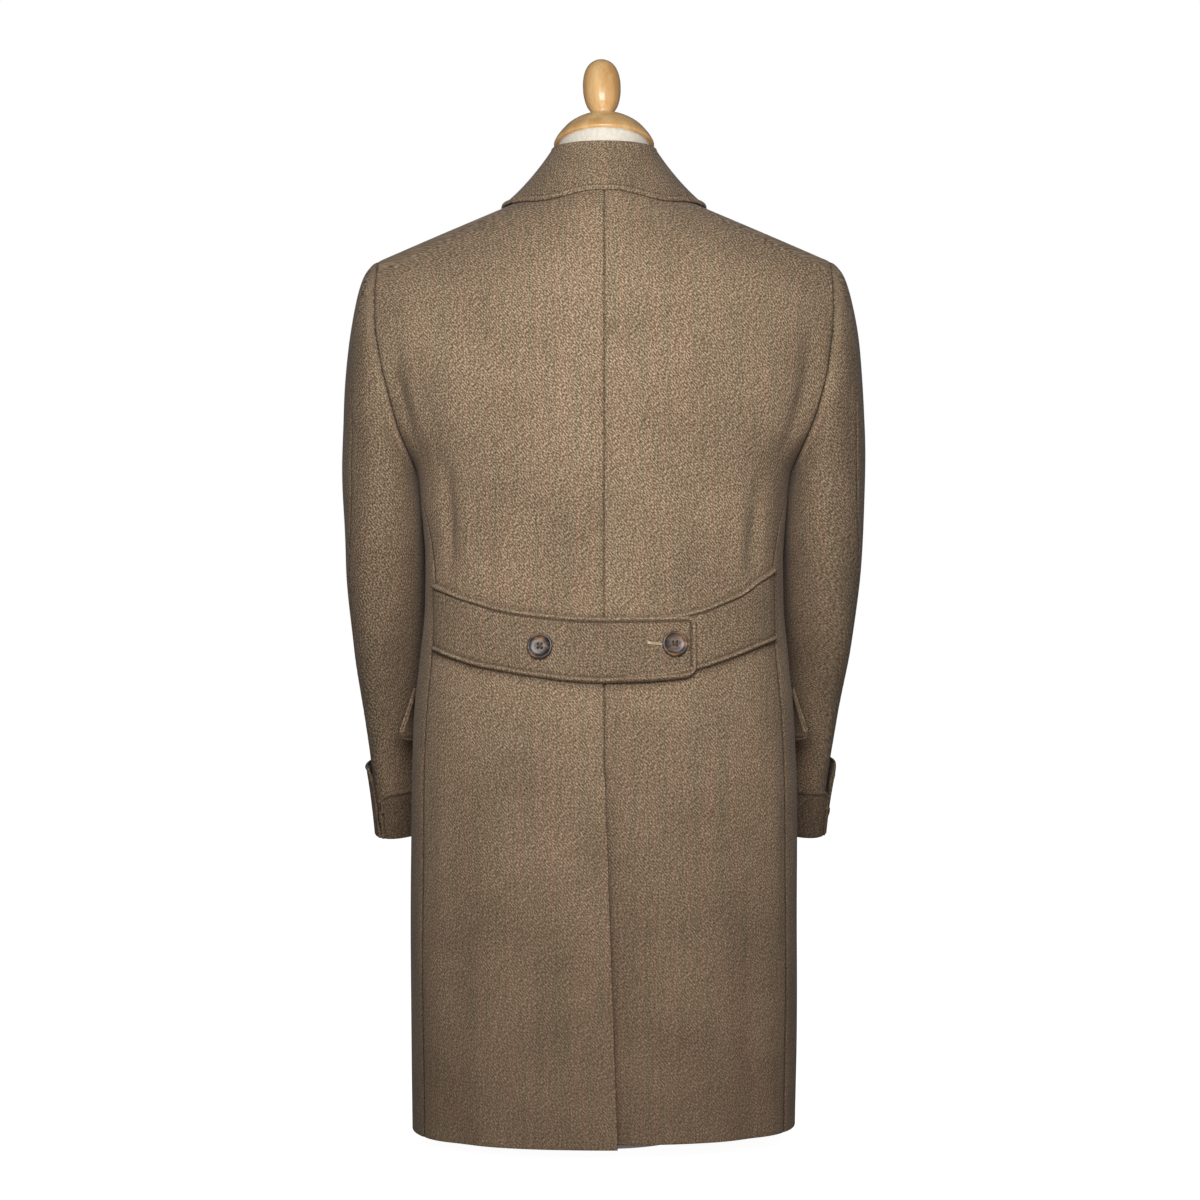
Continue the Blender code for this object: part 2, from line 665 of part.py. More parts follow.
def make_cuff(side):
    """Turned-back cuff, split at the hind-arm seam, its upper corners rounded off."""
    steps = np.array([0.0, 0.006, 0.018, 0.05, *np.linspace(0.12, 0.88, 12), 0.95, 0.982, 0.994, 1.0])
    turned = steps * (360 - CUFF_SPLIT)
    depth = smooth(turned, CUFF["angle"], CUFF["depth"])
    corner = np.minimum(turned, turned[-1] - turned) * math.pi / 180 * 0.045
    depth = depth - 0.8 * rounded_off(corner, CUFF_CORNER)
    length = 0.62
    rows = np.linspace(0.0, 1.0, 4)
    turn = np.radians(HIND_SEAM - CUFF_SPLIT / 2 - turned)[None, :] * np.ones((4, 1))
    along = 1 - (1 - rows[:, None]) * depth[None, :] / length
    points = sleeve_point(turn, along, side)
    nudge = 1e-3
    around_it = sleeve_point(turn + nudge, along, side) - sleeve_point(turn - nudge, along, side)
    down_it = sleeve_point(turn, along, side) - sleeve_point(turn, along - 0.02, side)
    normal = np.cross(around_it, down_it)
    normal /= np.linalg.norm(normal, axis=-1, keepdims=True)
    if np.sum(normal * (points - points.mean(axis=1, keepdims=True))) < 0:
        normal = -normal
    flare = smooth(turned, CUFF["angle"], CUFF["flare"])[None, :] * (1 - rows[:, None]) ** 1.5
    inner = points + normal * (CUFF_LAY + flare)[..., None]
    outer = inner + normal * CLOTH
    name = "cuff_left" if side < 0 else "cuff_right"
    return cloth_wall(name, mirrored(outer, side), mirrored(inner, side))


def on_body(angle, height, out):
    """Points lifted off the coat's outer surface."""
    nudge = 1e-3
    across = body_point(angle + nudge, height) - body_point(angle - nudge, height)
    upwards = body_point(angle, height + nudge) - body_point(angle, height - nudge)
    normal = np.cross(across, upwards)
    normal /= np.linalg.norm(normal, axis=-1, keepdims=True)
    return body_point(angle, height) + normal * np.asarray(out)[..., None]


def belt_grid(table, xs, rows, round_end):
    """Belt outline as x and height, the free end's corners rounded off."""
    top = smooth(xs, table["x"], table["top"])
    bottom = smooth(xs, table["x"], table["bottom"])
    if round_end:
        cut = rounded_off(xs[-1] - xs, BELT_END_ROUND)
        top = top - cut * 0.7
        bottom = bottom + cut
    share = np.linspace(0.0, 1.0, rows)[:, None]
    height = bottom[None, :] + share * (top - bottom)[None, :]
    return np.repeat(xs[None, :], rows, axis=0), height


def make_belt():
    """Half belt in two parts, caught in the side seams, the left one buttoned over the right."""
    seam_left = BELT_LEFT["x"][0]
    seam_right = BELT_RIGHT["x"][-1]
    tail = BELT_LEFT["x"][-1]
    xs = np.concatenate([np.linspace(seam_left, tail - 0.014, 17), tail - np.array([0.008, 0.003, 0.0])])
    x, height = belt_grid(BELT_LEFT, xs, 4, True)
    over = ease(x / 0.016)
    low = BELT_LAY + over * (CLOTH + LAY_GAP)
    angle = angle_at(x, height)
    cloth_wall("belt_left", on_body(angle, height, low + CLOTH), on_body(angle, height, low))
    xs = np.linspace(BELT_RIGHT["x"][0], seam_right, 12)
    x, height = belt_grid(BELT_RIGHT, xs, 4, False)
    angle = angle_at(x, height)
    low = np.full(x.shape, BELT_LAY)
    cloth_wall("belt_right", on_body(angle, height, low + CLOTH), on_body(angle, height, low))


def make_flap(side):
    """Pocket flap sewn on along its upper edge, its rear corner standing off the hip."""
    across = np.array([0.0, 0.02, 0.06, 0.11, 0.26, 0.45, 0.65, 0.84, 0.94, 0.98, 1.0])
    rows = np.linspace(0.0, 1.0, 5)[:, None]
    angle = np.radians(FLAP_REAR + across * (FLAP_FRONT - FLAP_REAR))[None, :] * np.ones((5, 1))
    top = FLAP_TOP - FLAP_SLANT * across
    corner = np.minimum(across, 1 - across) * 0.165
    depth = FLAP_DEPTH - 0.8 * rounded_off(corner, FLAP_CORNER)
    height = top[None, :] - rows * depth[None, :]
    stand = 0.0012 + (FLAP_FLARE - 0.0012) * (1 - ease(across / 0.26))
    low = FLAP_LAY + rows ** 1.2 * stand[None, :]
    name = "pocket_flap_left" if side < 0 else "pocket_flap_right"
    outer = on_body(angle * side, height, low + CLOTH)
    inner = on_body(angle * side, height, low)
    return cloth_wall(name, outer, inner)


def roof_height(x, y):
    """Height of the coat's shoulders, back and chest over a point in plan."""
    height = np.full(np.shape(x), 0.96)
    rounding = np.where(y < 0, BACK_ROUNDING, FRONT_ROUNDING)
    for _ in range(8):
        level = section(BODY, height)
        backwards = around(angle_at(np.abs(x), height), level["square"])[1]
        depth = np.where(y < 0, level["back"], level["front"])
        share = np.clip(np.abs(y) / (depth * backwards), 0.0, 0.999)
        height = ridge_height(x) - rounding * (1 - np.sqrt(1 - share ** 2))
    return height


def lying_height(radius, sine, cosine):
    """Height at which the collar's fall lies on the shoulders without touching them."""
    x, y = radius * sine, -radius * cosine
    further = roof_height(x + 0.002 * sine, y - 0.002 * cosine)
    steep = (roof_height(x, y) - further) / 0.002
    return roof_height(x, y) + (COLLAR_CLOTH + 0.0014) * np.sqrt(1 + steep ** 2)


def make_collar():
    """Stand, fold and fall of the collar in one wall, swept round the neck."""
    degrees = np.linspace(-COLLAR_END, COLLAR_END, 33)
    size = np.abs(degrees)
    sine, cosine = np.sin(np.radians(degrees)), np.cos(np.radians(degrees))
    row = {name: smooth(size, COLLAR["angle"], column) for name, column in COLLAR.items()}
    foot_r, foot_z = row["foot_radius"], row["foot_height"]
    fold_r, fold_z = row["fold_radius"], row["fold_height"]
    edge_r = row["edge_radius"]
    edge_z = lying_height(edge_r, sine, cosine)
    radius, height = [], []
    for t in np.linspace(0.0, 1.0, 4)[:-1]:
        radius.append(foot_r + t * (fold_r - FOLD_RADIUS - foot_r))
        height.append(foot_z + t * (fold_z - FOLD_RADIUS - foot_z))
    for turn in np.radians([0.0, 60.0, 120.0]):
        radius.append(fold_r - FOLD_RADIUS * np.cos(turn))
        height.append(fold_z - FOLD_RADIUS + FOLD_RADIUS * np.sin(turn))
    start_r, start_z = fold_r + FOLD_RADIUS, fold_z - FOLD_RADIUS
    middle_r, middle_z = (start_r + edge_r) / 2, (start_z + edge_z) / 2 + row["sag"]
    for t in np.linspace(0.0, 1.0, 6):
        a, b, c = (1 - t) ** 2, 2 * t * (1 - t), t ** 2
        fall_r = a * start_r + b * middle_r + c * edge_r
        fall_z = a * start_z + b * middle_z + c * edge_z
        radius.append(fall_r)
        height.append(np.maximum(fall_z, lying_height(fall_r, sine, cosine)))
    radius, height = np.array(radius), np.array(height)
    points = np.stack([radius * sine, -radius * cosine, height], axis=-1)
    normal = normals_of(points)
    tail = normal[-1]
    if np.sum(tail[:, 2]) < 0:
        normal = -normal
    return cloth_wall("collar", points, points - normal * COLLAR_CLOTH)


def make_lapel(side):
    """Lapel turned back over the front along the roll line."""
    rows = 9
    across = np.linspace(0.0, 1.0, 5)
    down = np.linspace(0.0, 1.0, rows)
    lowest, fade = (0.0, 2.2) if side < 0 else (0.40, 1.1)
    neck = float(ridge_height(NECK_X))
    top_share = (LAPEL_TOP - UNDERARM_HEIGHT) / (neck - UNDERARM_HEIGHT)
    level_share = top_share + down * (lowest + 0.03 - top_share)
    roll_x = front_edge_x(level_share) + 0.0015
    roll_z = UNDERARM_HEIGHT + level_share * (neck - UNDERARM_HEIGHT)
    width = smooth(down, LAPEL["down"], LAPEL["width"])
    drop = smooth(across, LAPEL_EDGE["across"], LAPEL_EDGE["drop"])
    x = roll_x[:, None] + across[None, :] * width[:, None]
    height = roll_z[:, None] - drop[None, :] * ((1 - down) ** fade)[:, None]
    angle = math.pi - angle_at(x, height)
    lift = 0.0010 + 0.0014 * np.exp(-(across / 0.25) ** 2)[None, :] * np.ones((rows, 1))
    name = "lapel_left" if side < 0 else "lapel_right"
    inner = on_body(angle * side, height, lift)
    outer = on_body(angle * side, height, lift + CLOTH)
    return cloth_wall(name, outer, inner)


def make_button(name, place):
    """Four-hole horn button sewn on the half belt."""
    x, height = np.array([place[0]]), np.array([place[1]])
    angle = angle_at(x, height)
    over = BELT_LAY + (CLOTH + LAY_GAP) * ease(x / 0.016)
    foot = on_body(angle, height, over + CLOTH + BUTTON_LAY)[0]
    ahead = on_body(angle, height, over + 0.02)[0] - foot
    button = lathe(name, BUTTON_PROFILE, 24, "horn")
    button.location = tuple(foot)
    button.rotation_euler = Vector(ahead).to_track_quat("Z", "Y").to_euler()
    for i in range(4):
        corner = math.radians(45 + 90 * i)
        hole = hole_cutter(f"{name}_hole_{i}")
        hole.parent = button
        hole.location = (BUTTON_HOLE_REACH * math.cos(corner), BUTTON_HOLE_REACH * math.sin(corner), 0.0)
        cut = button.modifiers.new(f"Hole {i}", "BOOLEAN")
        cut.operation = "DIFFERENCE"
        cut.object = hole
        cut.solver = "EXACT"
    return button


def hole_cutter(name):
    """Round cutter for one thread hole."""
    mesh = bpy.data.meshes.new(name)
    shaped = bmesh.new()
    bmesh.ops.create_cone(
        shaped,
        cap_ends=True,
        segments=8,
        radius1=BUTTON_HOLE,
        radius2=BUTTON_HOLE,
        depth=4 * BUTTON_HEIGHT,
    )
    shaped.to_mesh(mesh)
    shaped.free()
    made = bpy.data.objects.new(name, mesh)
    made.hide_render = True
    made.display_type = "WIRE"
    CUTTERS.objects.link(made)
    return made


def make_torso():
    """The form's torso and neck: level rings to the chest, then rings over the shoulders to the neck."""
    angles = np.radians(np.arange(0, 360, 360 / TURN_STEPS))
    rings = []
    for height in (0.270, 0.285, 0.34, 0.40, 0.46, 0.52, 0.58, 0.64, 0.69):
        level = section(TORSO, height)
        depth = np.where(np.cos(angles) >= 0, level["back"], level["front"])
        x = level["half_width"] * np.sin(angles)
        y = level["centre"] - depth * np.cos(angles)
        rings.append(np.stack([x, y, np.full(angles.shape, height)], axis=-1))
    top = section(TORSO, 0.80)
    depth = np.where(np.cos(angles) >= 0, top["back"], top["front"])
    rounding = np.where(np.cos(angles) >= 0, BACK_ROUNDING, FRONT_ROUNDING)
    outline_x, outline_y = top["half_width"] * np.sin(angles), -depth * np.cos(angles)
    neck_x, neck_y = NECK_HALF_WIDTH * np.sin(angles), -NECK_HALF_DEPTH * np.cos(angles)
    for share in (1.0, 0.97, 0.90, 0.78, 0.62, 0.45, 0.28, 0.12):
        x = neck_x + share * (outline_x - neck_x)
        y = neck_y + share * (outline_y - neck_y)
        limit = depth * np.sqrt(np.maximum(1 - (x / (top["half_width"] * 1.04)) ** 2, 0.04))
        reach = np.clip(np.abs(y) / limit, 0.0, 1.0)
        drop = FORM_DROP + FORM_NECK_DROP * ease((0.115 - np.abs(x)) / 0.035)
        z = ridge_height(x) - drop - rounding * (1 - np.sqrt(1 - reach ** 2))
        rings.append(np.stack([x, y, np.maximum(z, 0.72)], axis=-1))
    tilt = math.tan(math.radians(CAP_TILT))
    for rise in (1.012, None):
        if rise is None:
            z = CAP_HEIGHT - 0.0004 - neck_y * tilt
        else:
            z = rise - neck_y * tilt * 0.4
        rings.append(np.stack([neck_x, neck_y, z], axis=-1))
    count = len(angles)
    faces = [tuple(range(count))]
    for r in range(len(rings) - 1):
        for c in range(count):
            n = (c + 1) % count
            faces.append((r * count + c, r * count + n, (r + 1) * count + n, (r + 1) * count + c))
    last = (len(rings) - 1) * count
    faces.append(tuple(range(last, last + count)))
    return new_object("form_torso", np.concatenate(rings), faces, "canvas")


def make_form():
    make_torso()
    edge = 0.003
    base = (
        (0.0, 0.0),
        (BASE_RADIUS - edge, 0.0),
        (BASE_RADIUS, edge),
        (BASE_RADIUS, BASE_HEIGHT - edge),
        (BASE_RADIUS - edge, BASE_HEIGHT),
        (0.0, BASE_HEIGHT),
    )
    lathe("form_base", base, 40, "pale_steel")
    foot, head = BASE_HEIGHT + SEAM_GAP, TORSO_BOTTOM - SEAM_GAP
    pole = ((0.0, foot), (POLE_RADIUS, foot), (POLE_RADIUS, head), (0.0, head))
    lathe("form_pole", pole, 20, "pale_steel")
    for name, profile in (("form_neck_cap", CAP_PROFILE), ("form_finial", FINIAL_PROFILE)):
        turned = lathe(name, profile, 24, "beech")
        turned.location = (0.0, 0.0, CAP_HEIGHT)
        turned.rotation_euler = (-math.radians(CAP_TILT), 0.0, 0.0)
        if name == "form_neck_cap":
            turned.scale = (1.0, 1.10, 1.0)
        else:
            turned.rotation_euler.y = -math.radians(FINIAL_LEAN)


material("covert_cloth", (0.30, 0.22, 0.15), 0.9)
material("horn", (0.06, 0.045, 0.04), 0.35)
material("canvas", (0.85, 0.80, 0.68), 0.85)
material("beech", (0.66, 0.42, 0.18), 0.3)
material("pale_steel", (0.80, 0.78, 0.72), 0.4)

make_form()
for half in (-1, 1):
    make_back(half)
    make_front(half)
    make_sleeve(half)
    make_cuff(half)
    make_lapel(half)
    make_flap(half)
make_collar()
make_belt()
make_button("belt_button_left", BUTTON_PLACES[0])
make_button("belt_button_right", BUTTON_PLACES[1])
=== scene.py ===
import json
import math

import bpy
import numpy as np
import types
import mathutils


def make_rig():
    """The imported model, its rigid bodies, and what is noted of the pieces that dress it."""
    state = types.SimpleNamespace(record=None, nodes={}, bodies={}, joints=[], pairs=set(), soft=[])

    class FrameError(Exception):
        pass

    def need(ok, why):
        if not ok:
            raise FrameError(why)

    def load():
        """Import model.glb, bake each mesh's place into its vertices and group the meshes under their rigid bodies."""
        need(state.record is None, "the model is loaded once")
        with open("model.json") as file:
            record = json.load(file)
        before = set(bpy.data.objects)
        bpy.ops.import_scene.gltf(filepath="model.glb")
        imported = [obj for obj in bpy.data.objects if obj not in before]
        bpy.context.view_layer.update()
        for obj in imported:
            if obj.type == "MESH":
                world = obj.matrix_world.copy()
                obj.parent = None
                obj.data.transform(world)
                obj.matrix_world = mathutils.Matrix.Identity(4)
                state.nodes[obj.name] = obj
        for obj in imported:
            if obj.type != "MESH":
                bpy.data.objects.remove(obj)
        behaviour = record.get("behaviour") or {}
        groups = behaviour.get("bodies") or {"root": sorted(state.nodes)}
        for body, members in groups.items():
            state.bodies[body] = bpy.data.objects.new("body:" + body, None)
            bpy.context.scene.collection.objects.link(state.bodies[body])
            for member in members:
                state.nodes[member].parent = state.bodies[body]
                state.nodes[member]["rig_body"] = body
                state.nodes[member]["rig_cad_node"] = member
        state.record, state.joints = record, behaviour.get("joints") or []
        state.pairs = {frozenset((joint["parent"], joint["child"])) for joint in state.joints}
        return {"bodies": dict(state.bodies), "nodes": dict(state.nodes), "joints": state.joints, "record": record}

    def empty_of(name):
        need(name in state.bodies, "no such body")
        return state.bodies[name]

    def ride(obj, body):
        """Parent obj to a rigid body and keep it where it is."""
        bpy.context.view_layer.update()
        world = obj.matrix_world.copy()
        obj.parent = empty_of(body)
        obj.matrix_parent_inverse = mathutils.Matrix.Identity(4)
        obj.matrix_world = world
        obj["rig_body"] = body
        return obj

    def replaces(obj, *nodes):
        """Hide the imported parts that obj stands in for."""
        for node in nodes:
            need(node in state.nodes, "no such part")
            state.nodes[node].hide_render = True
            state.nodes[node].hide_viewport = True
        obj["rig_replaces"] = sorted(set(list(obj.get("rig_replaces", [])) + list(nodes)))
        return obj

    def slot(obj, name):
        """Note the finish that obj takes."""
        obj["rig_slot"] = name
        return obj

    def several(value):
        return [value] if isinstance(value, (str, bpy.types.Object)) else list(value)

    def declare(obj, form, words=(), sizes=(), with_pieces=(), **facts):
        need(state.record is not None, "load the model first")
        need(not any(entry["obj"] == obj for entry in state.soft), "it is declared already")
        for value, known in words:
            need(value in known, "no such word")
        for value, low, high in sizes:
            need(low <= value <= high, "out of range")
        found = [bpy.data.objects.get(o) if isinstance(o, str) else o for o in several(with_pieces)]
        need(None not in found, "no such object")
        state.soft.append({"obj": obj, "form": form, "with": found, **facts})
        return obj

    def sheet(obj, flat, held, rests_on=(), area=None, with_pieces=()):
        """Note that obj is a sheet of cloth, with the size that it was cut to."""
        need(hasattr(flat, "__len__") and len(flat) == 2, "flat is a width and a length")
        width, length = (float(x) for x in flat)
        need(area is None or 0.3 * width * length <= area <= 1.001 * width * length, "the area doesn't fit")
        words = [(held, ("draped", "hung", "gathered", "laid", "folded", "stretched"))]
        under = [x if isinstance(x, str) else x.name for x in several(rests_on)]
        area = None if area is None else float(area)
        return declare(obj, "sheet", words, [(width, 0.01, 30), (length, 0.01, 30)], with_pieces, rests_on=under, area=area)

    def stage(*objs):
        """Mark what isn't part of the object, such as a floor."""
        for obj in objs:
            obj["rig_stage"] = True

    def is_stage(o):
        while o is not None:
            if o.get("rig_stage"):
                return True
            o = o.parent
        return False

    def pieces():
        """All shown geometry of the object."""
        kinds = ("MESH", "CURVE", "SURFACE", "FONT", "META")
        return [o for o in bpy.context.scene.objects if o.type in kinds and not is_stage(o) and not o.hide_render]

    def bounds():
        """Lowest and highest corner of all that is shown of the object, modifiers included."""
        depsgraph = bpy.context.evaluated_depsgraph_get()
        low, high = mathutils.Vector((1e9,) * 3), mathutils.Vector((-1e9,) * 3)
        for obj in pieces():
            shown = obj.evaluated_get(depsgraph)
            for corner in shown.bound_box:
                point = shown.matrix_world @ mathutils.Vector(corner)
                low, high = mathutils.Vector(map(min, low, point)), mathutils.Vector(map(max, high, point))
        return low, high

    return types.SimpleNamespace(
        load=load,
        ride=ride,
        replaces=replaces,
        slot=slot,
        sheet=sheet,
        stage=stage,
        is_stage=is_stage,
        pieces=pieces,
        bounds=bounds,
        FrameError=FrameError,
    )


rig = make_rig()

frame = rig.load()
cadLow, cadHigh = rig.bounds()
scene = bpy.context.scene
print("frame loaded:", len(frame["nodes"]), "nodes")


# A short table kept as named columns
def columns(names, rows):
    return dict(zip(names.split(), np.array(rows, float).T))


# Value of a column between its rows: a cubic through the rows, level where they turn, so it never overshoots
def smoothAt(at, xs, ys):
    at = np.clip(np.asarray(at, float), xs[0], xs[-1])
    step = np.diff(xs)
    rise = np.diff(ys) / step
    slope = np.zeros(len(xs))
    before, after = rise[:-1], rise[1:]
    same = before * after > 0
    slope[1:-1][same] = 2 * before[same] * after[same] / (before[same] + after[same])
    slope[0], slope[-1] = rise[0], rise[-1]
    i = np.clip(np.searchsorted(xs, at, side="right") - 1, 0, len(step) - 1)
    f = (at - xs[i]) / step[i]
    low = ys[i] * (1 + 2 * f) * (1 - f) ** 2 + step[i] * slope[i] * f * (1 - f) ** 2
    return low + ys[i + 1] * f ** 2 * (3 - 2 * f) - step[i] * slope[i + 1] * f ** 2 * (1 - f)


# From 0 to 1 with a level start and end
def ease(value):
    value = np.clip(value, 0.0, 1.0)
    return value * value * (3 - 2 * value)


# A soft bump of height 1: the bell curve of a distance over a width
def bell(distance, width):
    return np.exp(-(distance / width) ** 2)


# What a rounded corner takes off, by the distance inside the end: a quarter circle
def roundedOff(inside, radius):
    left = radius - np.minimum(inside, radius)
    return radius - np.sqrt(np.maximum(radius ** 2 - left ** 2, 0.0))


# Shares from 0 to 1 that lie closer together at both ends: a line less part of a sine wave
def endSpaced(count, crowd=0.82):
    t = np.linspace(0.0, 1.0, count)
    return t - crowd * np.sin(2 * math.pi * t) / (2 * math.pi)


# Vectors brought to a length of 1
def unit(vectors):
    return vectors / (np.linalg.norm(vectors, axis=-1, keepdims=True) + 1e-12)


# The side a piece is worn on: -1 is the left
def sideName(side):
    return "left" if side < 0 else "right"


# Mirrors a piece that is worked out on the right to the left
def onSide(points, side):
    return points * np.array([side, 1.0, 1.0])


# Lengths along a path of points, from its first one
def pathLengths(path):
    return np.concatenate([[0.0], np.cumsum(np.linalg.norm(np.diff(path, axis=0), axis=1))])


# Faces of a tube of rings, closed over its first and its last ring; start is its first point's number
def tubeFaces(rings, sides, start=0):
    index = start + np.arange(rings * sides).reshape(rings, sides)
    around = np.roll(index, -1, axis=1)
    quads = np.stack([index[:-1], around[:-1], around[1:], index[1:]], axis=-1).reshape(-1, 4)
    return quads.tolist() + [index[0, ::-1].tolist(), index[-1].tolist()]


# The coat as a whole, in metres; rounds is how often a height that hangs on itself is worked out
coat = {
    "cloth": 0.0020, "seamGap": 0.0004, "layGap": 0.0006, "hem": 0.012, "hemStep": 0.005,
    "ventTop": 0.387, "ventOverlap": 0.0125, "ventUnderlap": 0.036, "ventStep": 0.0034, "underarm": 0.692,
    "tipX": 0.2365, "neckX": 0.0665, "nape": 1.006, "frontLap": 0.030, "frontStep": 0.0034,
    "shoulderTop": 1.0214, "shoulderSlope": 0.435, "shoulderRound": 0.040, "neckRise": 0.022,
    "neckRiseWidth": 0.050, "backRounding": 0.150, "frontRounding": 0.300, "meanRadius": 0.19,
    "ripple": 0.00035, "rippleTop": 0.93, "rippleFade": 0.12, "rounds": 8,
}
deepInside = np.array([0.0, 0.0, 0.5])  # a point in the body, to tell which way is out
outline = columns("height halfWidth back front centre square", [
    (0.000, 0.1995, 0.1400, 0.1640, -0.016, 0.020),
    (0.200, 0.2020, 0.1390, 0.1640, -0.016, 0.020),
    (0.350, 0.2015, 0.1360, 0.1640, -0.016, 0.020),
    (0.440, 0.1985, 0.1310, 0.1610, -0.014, 0.022),
    (0.500, 0.1925, 0.1210, 0.1560, -0.012, 0.030),
    (0.560, 0.1872, 0.1140, 0.1520, -0.010, 0.038),
    (0.600, 0.1870, 0.1150, 0.1510, -0.008, 0.040),
    (0.650, 0.1905, 0.1220, 0.1500, -0.006, 0.040),
    (0.692, 0.1945, 0.1300, 0.1500, -0.004, 0.038),
    (0.740, 0.2270, 0.1360, 0.1500, -0.002, 0.026),
    (0.800, 0.2570, 0.1410, 0.1500, 0.000, 0.016),
    (0.860, 0.2680, 0.1420, 0.1470, 0.000, 0.015),
    (0.920, 0.2700, 0.1400, 0.1380, 0.000, 0.015),
    (1.040, 0.2700, 0.1380, 0.1200, 0.000, 0.015),
])
sideSeam = columns("height angle", [
    (0.000, 66.0), (0.400, 65.5), (0.580, 64.5), (0.640, 70.0), (0.692, 88.5),
])
armhole = columns("height backX frontX", [
    (0.692, 0.1945, 0.1945), (0.717, 0.2040, 0.2020), (0.738, 0.2125, 0.2070), (0.767, 0.2205, 0.2110),
    (0.805, 0.2295, 0.2150), (0.852, 0.2365, 0.2220), (0.887, 0.2375, 0.2300), (0.908, 0.2367, 0.2352),
    (0.918, 0.2365, 0.2365),
])
# Creases: each a line from its top to its bottom, with its width and its rise (a trough is below zero)
creases = columns("side topAngle top bottomAngle bottom width rise", [
    (1, 48.0, 0.880, 60.0, 0.680, 0.012, -0.0058),
    (1, 56.0, 0.860, 69.0, 0.690, 0.010, 0.0026),
    (-1, 51.0, 0.860, 62.0, 0.690, 0.012, -0.0050),
    (1, 50.0, 0.710, 49.0, 0.555, 0.013, -0.0054),
    (1, 27.0, 0.650, 26.0, 0.550, 0.012, -0.0038),
    (-1, 51.0, 0.740, 53.0, 0.560, 0.012, -0.0056),
    (-1, 36.0, 0.660, 34.0, 0.555, 0.014, -0.0036),
    (1, 44.0, 0.520, 46.0, -0.300, 0.024, -0.0036),
    (-1, 47.0, 0.500, 43.0, -0.340, 0.026, -0.0032),
    (1, 112.0, 0.430, 116.0, -0.280, 0.026, -0.0040),
    (-1, 108.0, 0.420, 114.0, -0.300, 0.028, -0.0044),
    (1, 128.0, 0.790, 134.0, 0.560, 0.020, -0.0034),
    (-1, 132.0, 0.770, 137.0, 0.550, 0.018, -0.0036),
    (1, 40.0, 0.800, 45.0, 0.650, 0.009, -0.0012),
    (-1, 43.0, 0.830, 50.0, 0.700, 0.008, -0.0012),
    (1, 38.0, 0.690, 37.0, 0.560, 0.008, -0.0013),
    (-1, 44.0, 0.700, 44.0, 0.580, 0.007, 0.0010),
    (-1, 27.0, 0.640, 25.0, 0.560, 0.008, -0.0009),
    (1, 17.0, 0.480, 15.0, 0.330, 0.015, -0.0012),
    (-1, 22.0, 0.470, 24.0, 0.250, 0.017, -0.0013),
    (1, 30.0, 0.470, 33.0, 0.080, 0.018, 0.0012),
    (-1, 34.0, 0.430, 33.0, 0.020, 0.016, 0.0011),
    (1, 58.0, 0.460, 60.0, 0.120, 0.012, 0.0012),
    (-1, 59.0, 0.470, 58.0, 0.200, 0.011, -0.0011),
    (1, 80.0, 0.440, 84.0, 0.060, 0.016, -0.0018),
    (-1, 84.0, 0.460, 80.0, 0.020, 0.018, -0.0020),
    (1, 100.0, 0.680, 106.0, 0.520, 0.012, -0.0020),
    (-1, 104.0, 0.700, 110.0, 0.530, 0.013, -0.0022),
    (1, 140.0, 0.420, 146.0, 0.060, 0.018, 0.0014),
    (-1, 144.0, 0.400, 139.0, 0.040, 0.020, 0.0015),
    (1, 118.0, 0.860, 128.0, 0.700, 0.012, -0.0016),
    (-1, 116.0, 0.850, 124.0, 0.690, 0.012, -0.0018),
])


# Row of a table at a place in its first column
def levelAt(table, at):
    places = next(iter(table.values()))
    return {name: smoothAt(at, places, column) for name, column in table.items()}


# Shoulder line: a straight slope rounded at the centre, with a bell-shaped rise into the neck
def ridgeHeight(x):
    slope = coat["shoulderTop"] - coat["shoulderSlope"] * np.hypot(x, coat["shoulderRound"])
    return slope + coat["neckRise"] * bell(x, coat["neckRiseWidth"])


# Unit outline at an angle from the centre back: a circle with a third harmonic that squares it
def aroundBody(angle, square):
    across = (np.sin(angle) + square * np.sin(3 * angle)) / (1 - square)
    backwards = (np.cos(angle) - square * np.cos(3 * angle)) / (1 - square)
    return across, backwards


# Lift of the cloth: bells across slanted lines that swell and fade along them, and a slow uneven ripple
def clothRise(angle, height):
    total = np.zeros(np.broadcast(angle, height).shape)
    for side, topAngle, top, bottomAngle, bottom, width, rise in zip(*creases.values()):
        down = np.clip((top - height) / (top - bottom), 0.0, 1.0)
        line = np.radians(topAngle + down * (bottomAngle - topAngle))
        off = (angle * side - line) * coat["meanRadius"]
        total = total + rise * bell(off, width) * np.sin(math.pi * down) ** 2
    ripple = np.sin(7.3 * angle + 11.0 * height + 0.4) * np.sin(4.1 * angle - 17.0 * height + 1.9)
    ripple = ripple + 0.6 * np.sin(13.7 * angle - 6.0 * height + 2.6) * np.sin(23.0 * height + 5.0 * angle)
    return total + coat["ripple"] * ripple * ease((coat["rippleTop"] - height) / coat["rippleFade"])


# 1 on the upright walls, bending over as a quarter circle to 0 at the shoulder line
def roofBend(height, x, backwards):
    rounding = np.where(backwards >= 0, coat["backRounding"], coat["frontRounding"])
    below = np.clip((ridgeHeight(x) - height) / rounding, 0.0, 1.0)
    return np.sqrt(1 - (1 - below) ** 2)


# Point on the coat's outer face: the outline at that height, bent over at the shoulders, lifted by creases
def bodyPoint(angle, height):
    level = levelAt(outline, height)
    across, backwards = aroundBody(angle, level["square"])
    x = level["halfWidth"] * across
    depth = np.where(backwards >= 0, level["back"], level["front"])
    y = level["centre"] - depth * backwards * roofBend(height, x, backwards)
    lift = clothRise(angle, height) / np.hypot(across / level["halfWidth"], backwards / depth)
    x = x + lift * across / level["halfWidth"]
    y = y - lift * backwards / depth
    return np.stack(np.broadcast_arrays(x, y, height), axis=-1)


